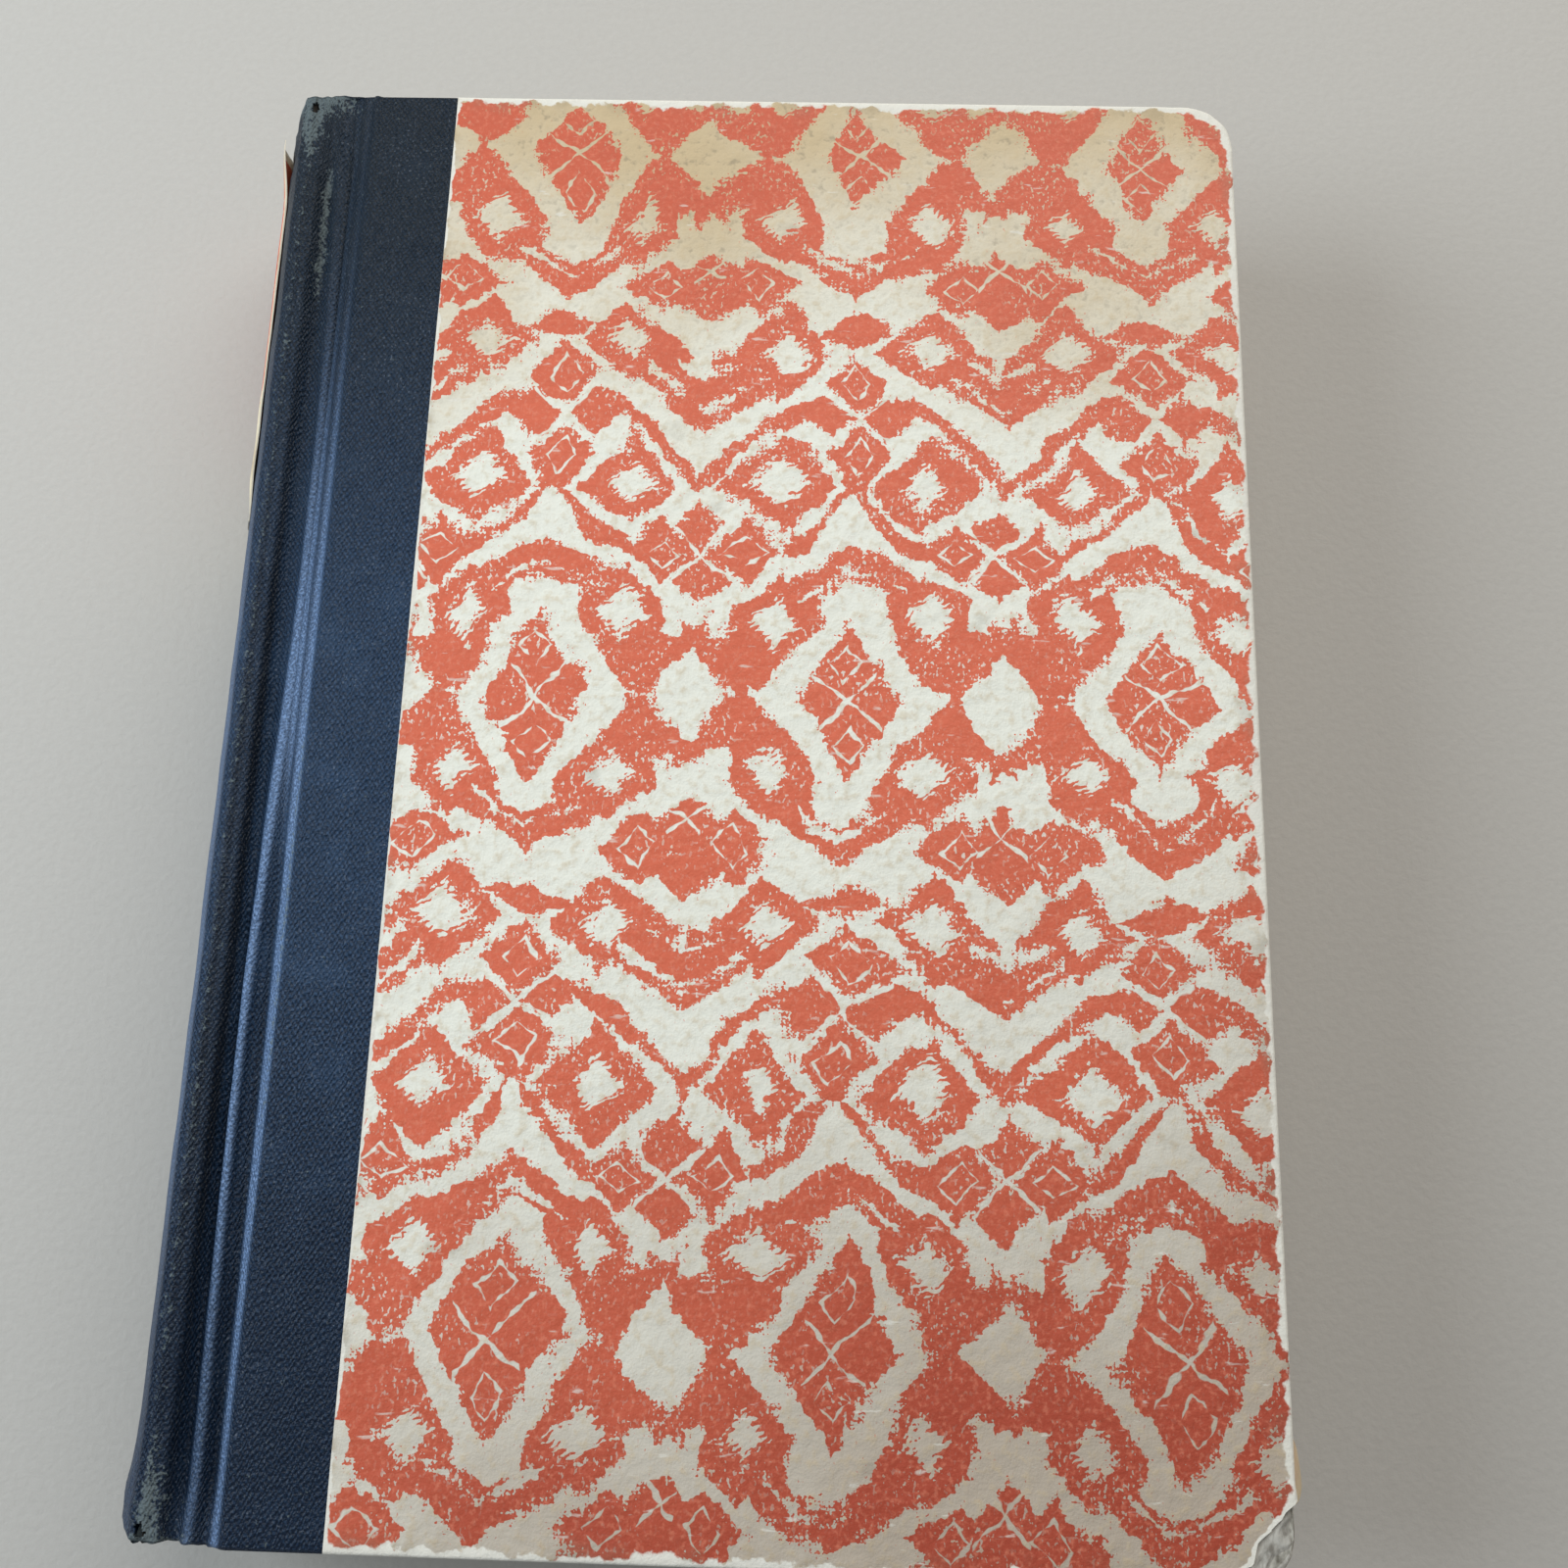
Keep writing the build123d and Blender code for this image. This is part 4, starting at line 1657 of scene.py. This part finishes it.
    def relief(self, piece: bpy.types.Object) -> None:
        """Keep the sheet's flat place and its rim, press it past the cloth under it, swell and place it.

        Args:
            piece: The folded sheet.
        """
        points = points_of(piece)
        x, y, z = points.T.copy()
        across, up, radius = self.from_edges(x, y)
        inside = self.rim_distance(x, y)
        wall, height = BOOK.half_book - z, BOOK.half_book - z.min()

        # Where each point was before the sheet was wrapped round the board
        round_corner = (across < radius) & (up < radius)
        out_x = np.where(round_corner, radius - across, across < up)
        out_y = np.where(round_corner, radius - up, across >= up) * np.sign(y)
        wrapped = (wall + 2 * inside * (wall > height - CLOSE)) / np.maximum(np.hypot(out_x, out_y), 0.01)
        note(piece, "sheet", rows_of(x + out_x * wrapped, y + out_y * wrapped, 0 * z) * MM)

        # Rim: rubbed at the outline, more at the corners and a nick, less in the middle of the wall
        sound = 60.0
        corner = 0.9 * ease(np.maximum(across, up), 15.0, 5.0)
        rim = inside - corner - 0.9 * bell(y, self.nick_y, 1.1)
        rim = np.where((wall > 1) & (wall < height - 1), 3.2 - corner, rim)
        rim = np.where((wall > height - CLOSE) & (inside > 3), sound, rim)
        rim = np.minimum(rim, np.where(wall < 0.3, (x - BOOK.paper_edge) * 2.2 + 0.35, sound))
        if self.torn:
            rim = np.minimum(rim, np.maximum(self.past_tear(x, y) * 2.4, 0))
        note(piece, "rim", rim)

        batter = ripple(points * np.array([1.0, 1.0, 0.0]), 2.4, 5.0) * ease(inside, 3.0, 0.0)
        batter *= 0.26 * ease(np.maximum(across, up), 13.0, 5.0)
        top = ease(wall, 0.6, 0.05)
        swell = (ripple(points, 15.0, 1.0) * 0.6 + ripple(points, 5.5, 8.0) * 0.3) * self.swell
        wrinkle = np.maximum(0, 1 - abs(ripple(points * np.array([1.0, 0.55, 1.0]), 19.0, 12.0)) * 9) ** 2
        z += top * (ease(inside, 0.0, 6.0) * (swell + wrinkle * 0.1)
                    - 0.08 * ease(x, BOOK.cloth_end - 0.5, BOOK.cloth_end + 0.7))
        move_to(piece, rows_of(x + batter, y + batter * np.sign(y), BOOK.half_book + self.side * z))

    def face_out(self, piece: bpy.types.Object) -> None:
        """Turn the sheet so that its printed face looks away from the board.

        Args:
            piece: The placed sheet.
        """
        outward = sum(p.normal.z * p.area for p in piece.data.polygons
                      if abs(p.center.z / MM - BOOK.half_book) > BOOK.half_book - 0.6)
        if outward * self.side < 0:
            turn_over(piece)


@dataclass
class TornCorner:
    """The pulp of the board that shows beyond the tear, crumpled and split into soft layers."""

    size: tuple[float, float] = (11.0, 13.0)
    columns: int = 66
    rows: int = 78
    corner: float = 6.0
    thickness: float = 1.6
    edge_inset: float = 0.25  # from the edges of the covered board
    sound: float = -1.25  # up to this diagonal the paper covers the pulp

    def build(self, material: bpy.types.Material) -> bpy.types.Object:
        """Crumple a sheet of pulp over the corner of the board.

        Args:
            material: The pasteboard's finish.

        Returns:
            The piece, riding on the front cover.
        """
        wide, tall = self.size
        edge_x, edge_y = BOOK.fore_edge - self.edge_inset, -BOOK.half_height + self.edge_inset
        piece = add_grid("front_torn_pulp", (edge_x - wide, edge_y), (edge_x, edge_y + tall), 0,
                         self.columns, self.rows)
        points = points_of(piece)
        round_corner(points, edge_x, edge_y, self.corner)
        x, y, _ = points.T
        diagonal = (x - edge_x) / BOOK.tear[0] - (y - edge_y) / BOOK.tear[1]
        ridges = 1 - abs(ripple(rows_of((x + y) * 0.35, x - y, 0 * x), 1.9, 4.0)) * 2.4
        lumps = ripple(points, 1.3, 2.0)
        outer = np.minimum(edge_x - x, y - edge_y)
        top = 2 * BOOK.half_book
        z = top - 0.34 + 0.17 * ridges * ease(diagonal, self.sound, -0.8) + 0.05 * lumps
        z = z - ease(diagonal, -0.9, 0.0) * 0.35 - ease(outer, 0.9, 0.0) * 0.5
        points[:, 2] = np.where(diagonal < self.sound, top - 0.5, z)
        move_to(piece, points)
        thicken(piece, self.thickness)
        finish_piece(piece, material, angle=60.0)
        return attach(piece, Body.FRONT.value)


@dataclass
class LooseTongue:
    """A tongue of paper that has come away from the fore-edge of the front cover."""

    low: float = -95.8
    length: float = 8.0
    reach: float = 1.5
    level: float = 31.6
    held: float = 1.2  # width that is still under the printed paper
    thickness: float = 0.18

    def build(self, material: bpy.types.Material) -> bpy.types.Object:
        """Cut and curl the tongue.

        Args:
            material: Its paper.

        Returns:
            The piece, riding on the front cover.
        """
        piece = add_grid("front_loose_tongue", (0, 0), (1, 1), 0, 8, 26)
        flat = points_of(piece)
        share = flat[:, 1]
        wide = np.sin(np.pi * np.clip(share, 0, 1)) ** 0.45 * (0.85 + 0.15 * np.cos(5 * share))
        x = BOOK.fore_edge - self.held + flat[:, 0] * (self.held + self.reach * wide)
        z = self.level + 0.35 * flat[:, 0] ** 2 + 0.25 * np.sin(4 * share) * flat[:, 0]
        move_to(piece, rows_of(x, self.low + self.length * share, z))
        thicken(piece, self.thickness)
        finish_piece(piece, material)
        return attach(piece, Body.FRONT.value)


@dataclass
class PageBlock:
    """The pages as one block, each gathering's cut edge a little in or out."""

    left: float = -66.95
    right: float = 71.25
    half_height: float = 101.8
    half_thickness: float = 13.0
    rounding: float = 5.0
    hollow: float = 4.0
    shoulder: tuple[float, float] = (1.4, 1.2)  # width and height
    leaves: int = 96
    lengths: int = 22
    uneven: float = 0.13

    def build(self, material: bpy.types.Material) -> bpy.types.Object:
        """Divide a block into leaves, round its back, hollow its fore-edge and raise its shoulders.

        Args:
            material: The page edges' finish.

        Returns:
            The piece, riding on the block.
        """
        foot = self.left + self.shoulder[0]
        piece = add_block("page_block", (self.left, -self.half_height, -self.half_thickness),
                          (self.right, self.half_height, self.half_thickness))
        with editing(piece, Element.EDGE):
            pick(piece, Element.EDGE, lambda p: abs(p.z) < CLOSE)
            bpy.ops.mesh.subdivide(number_cuts=self.leaves - 1)
            pick(piece, Element.EDGE, lambda p: abs(p.y) < CLOSE)
            bpy.ops.mesh.subdivide(number_cuts=self.lengths - 1)
            bpy.ops.mesh.select_all(action="SELECT")
            bpy.ops.mesh.bisect(plane_co=(foot * MM, 0, 0), plane_no=(1, 0, 0))
            for end in (1, -1):
                pick(piece, Element.FACE, lambda p: p.x < foot and end * p.z > self.half_thickness - CLOSE)
                bpy.ops.mesh.extrude_region_move(
                    TRANSFORM_OT_translate={"value": (0, 0, end * self.shoulder[1] * MM)})
        x, y, z = points_of(piece).T
        over = np.maximum(abs(z) - self.half_thickness, 0) / self.shoulder[1]
        x = np.where((over > 0.5) & (x > self.left + 0.1), self.left + 0.25, x)
        height = np.clip(abs(z) / (self.half_thickness + self.shoulder[1]), 0, 1)
        at_back, at_front = x < self.left + 0.3, x > self.right - 0.1
        x = np.where(at_back, x - self.rounding * (1 - height**2), x)
        leaf = rows_of(z * 40, z * 0, z * 0)
        jitter = ripple(leaf, 14.0) + 0.7 * ripple(leaf, 61.0, 3.0)
        wave = ripple(rows_of(y, z * 3, x * 0), 30.0, 5.0)
        inset = self.uneven * (1.1 + jitter) + 0.06 * wave
        x = np.where(at_front, x - self.hollow * (1 - (z / self.half_thickness) ** 2) - inset, x)
        ends = abs(y) > self.half_height - 0.1
        y = np.where(ends, y - np.sign(y) * self.uneven * 0.8 * (1 + np.roll(jitter, 7)), y)
        move_to(piece, rows_of(x, y, BOOK.half_book + z))
        finish_piece(piece, material, angle=25.0)
        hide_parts("text_block")
        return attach(piece, Body.BLOCK.value)


@dataclass
class Studio:
    """A plain pale floor, soft light from the left and from behind, and the camera."""

    floor_half: float = 1.6
    camera_place: Triple = (0.01370, -0.05873, 0.24474)
    camera_right: Triple = (0.99942, 0.0292, -0.01775)
    camera_up: Triple = (-0.02391, 0.96864, 0.2473)
    camera_back: Triple = (0.02442, -0.24673, 0.96878)
    lens: float = 36.0
    sensor: float = 36.0
    lamps: tuple[tuple[str, Triple, float, float, Triple], ...] = (  # name, place, size, power and colour
        ("window", (-0.55, 0.06, 0.4), 0.45, 3.3, (0.84, 0.93, 1.0)),
        ("lamp", (0.25, 0.6, 0.62), 0.9, 6.1, (1.0, 0.96, 0.9)),
    )
    sky: Colour = (0.95, 0.97, 1.0, 1.0)
    sky_strength: float = 0.2

    def build(self, floor_finish: bpy.types.Material) -> None:
        """Lay the floor, hang the lamps and set up the camera.

        Args:
            floor_finish: The floor's finish.
        """
        bpy.ops.object.select_all(action="DESELECT")
        bpy.ops.mesh.primitive_grid_add(x_subdivisions=8, y_subdivisions=8, size=2 * self.floor_half)
        floor = bpy.context.active_object
        floor.name = "floor"
        floor.data.materials.append(floor_finish)

        for name, place, size, power, colour in self.lamps:
            bpy.ops.object.light_add(type="AREA", location=place)
            lamp = bpy.context.active_object
            lamp.name = name
            lamp.data.shape = "DISK"
            lamp.data.size, lamp.data.energy, lamp.data.color = size, power, colour
            lamp.rotation_euler = (-Vector(place)).to_track_quat("-Z", "Y").to_euler()

        sky = WorldGraph("studio")
        light = sky.node("ShaderNodeBackground", {}, {"Color": self.sky, "Strength": self.sky_strength})
        backdrop = sky.node("ShaderNodeBackground", {}, {"Color": BACKDROP})
        both = sky.node("ShaderNodeMixShader", {}, {
            0: sky.shows_backdrop(), 1: light.outputs[0], 2: backdrop.outputs[0]})
        sky.node("ShaderNodeOutputWorld", {}, {"Surface": both.outputs[0]})
        bpy.context.scene.world = sky.world

        camera = bpy.data.objects.new("camera", bpy.data.cameras.new("camera"))
        bpy.context.scene.collection.objects.link(camera)
        camera.data.lens, camera.data.sensor_width = self.lens, self.sensor
        camera.data.clip_start = 0.01
        axes = Matrix((self.camera_right, self.camera_up, self.camera_back)).transposed()
        camera.matrix_world = Matrix.Translation(self.camera_place) @ axes.to_4x4()
        bpy.context.scene.camera = camera
        bpy.context.scene.view_settings.view_transform = "Standard"


def dress(node: str, material: bpy.types.Material) -> None:
    """Give a carried-over CAD node its finish.

    Args:
        node: The node's name.
        material: Its finish.
    """
    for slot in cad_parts[node].material_slots:
        slot.material = material
    log.info("%s: finish %s", node, material.name)


def main() -> None:
    """Build the book piece by piece, dress it and light it."""
    logging.basicConfig(level=logging.INFO, format="%(name)s: %(message)s")
    cloth = BookCloth().material()
    printed = PrintedPaper().material()
    pulp = Pasteboard().material()
    endpaper = PlainPaper("endpaper", srgb(226, 216, 192), srgb(200, 180, 142)).material()

    PageBlock().build(PageEdges().material())
    ClothSide("front_joint_cloth", Body.FRONT, 1, ("spine_cloth", "front_cloth")).build(cloth)
    ClothSide("rear_joint_cloth", Body.REAR, -1, ("rear_cloth",)).build(cloth)
    SpineLabel().build(LabelPaper().material())
    Cover("front", Body.FRONT, 1, 7.5, 6.0, True).build(printed)
    Cover("rear", Body.REAR, -1, 4.0, 4.0, False).build(printed)
    torn = Pasteboard("torn_pulp", srgb(158, 155, 147), srgb(190, 188, 180), srgb(130, 126, 118), 0.1)
    TornCorner().build(torn.material())
    LooseTongue().build(endpaper)

    # The spine card is painted very dark, as painted shade where it shows through the worn holes in the cloth
    shaded_card = Pasteboard("spine_card", srgb(46, 44, 41), srgb(60, 57, 52), srgb(28, 26, 24))
    lining = PlainPaper("lining_paper", srgb(176, 150, 108), srgb(140, 112, 74))
    carried_over = (
        (pulp, ("front_board", "rear_board")),
        (shaded_card.material(), ("spine_inlay",)),
        (endpaper, ("front_pastedown", "rear_pastedown", "front_flyleaf", "rear_flyleaf")),
        (BandThread().material(), ("head_band", "tail_band")),
        (Gauze().material(), ("spine_mull",)),
        (lining.material(), ("spine_lining",)),
    )
    for material, nodes in carried_over:
        for node in nodes:
            dress(node, material)

    Studio().build(StudioFloor().material())


if __name__ == "__main__":
    main()
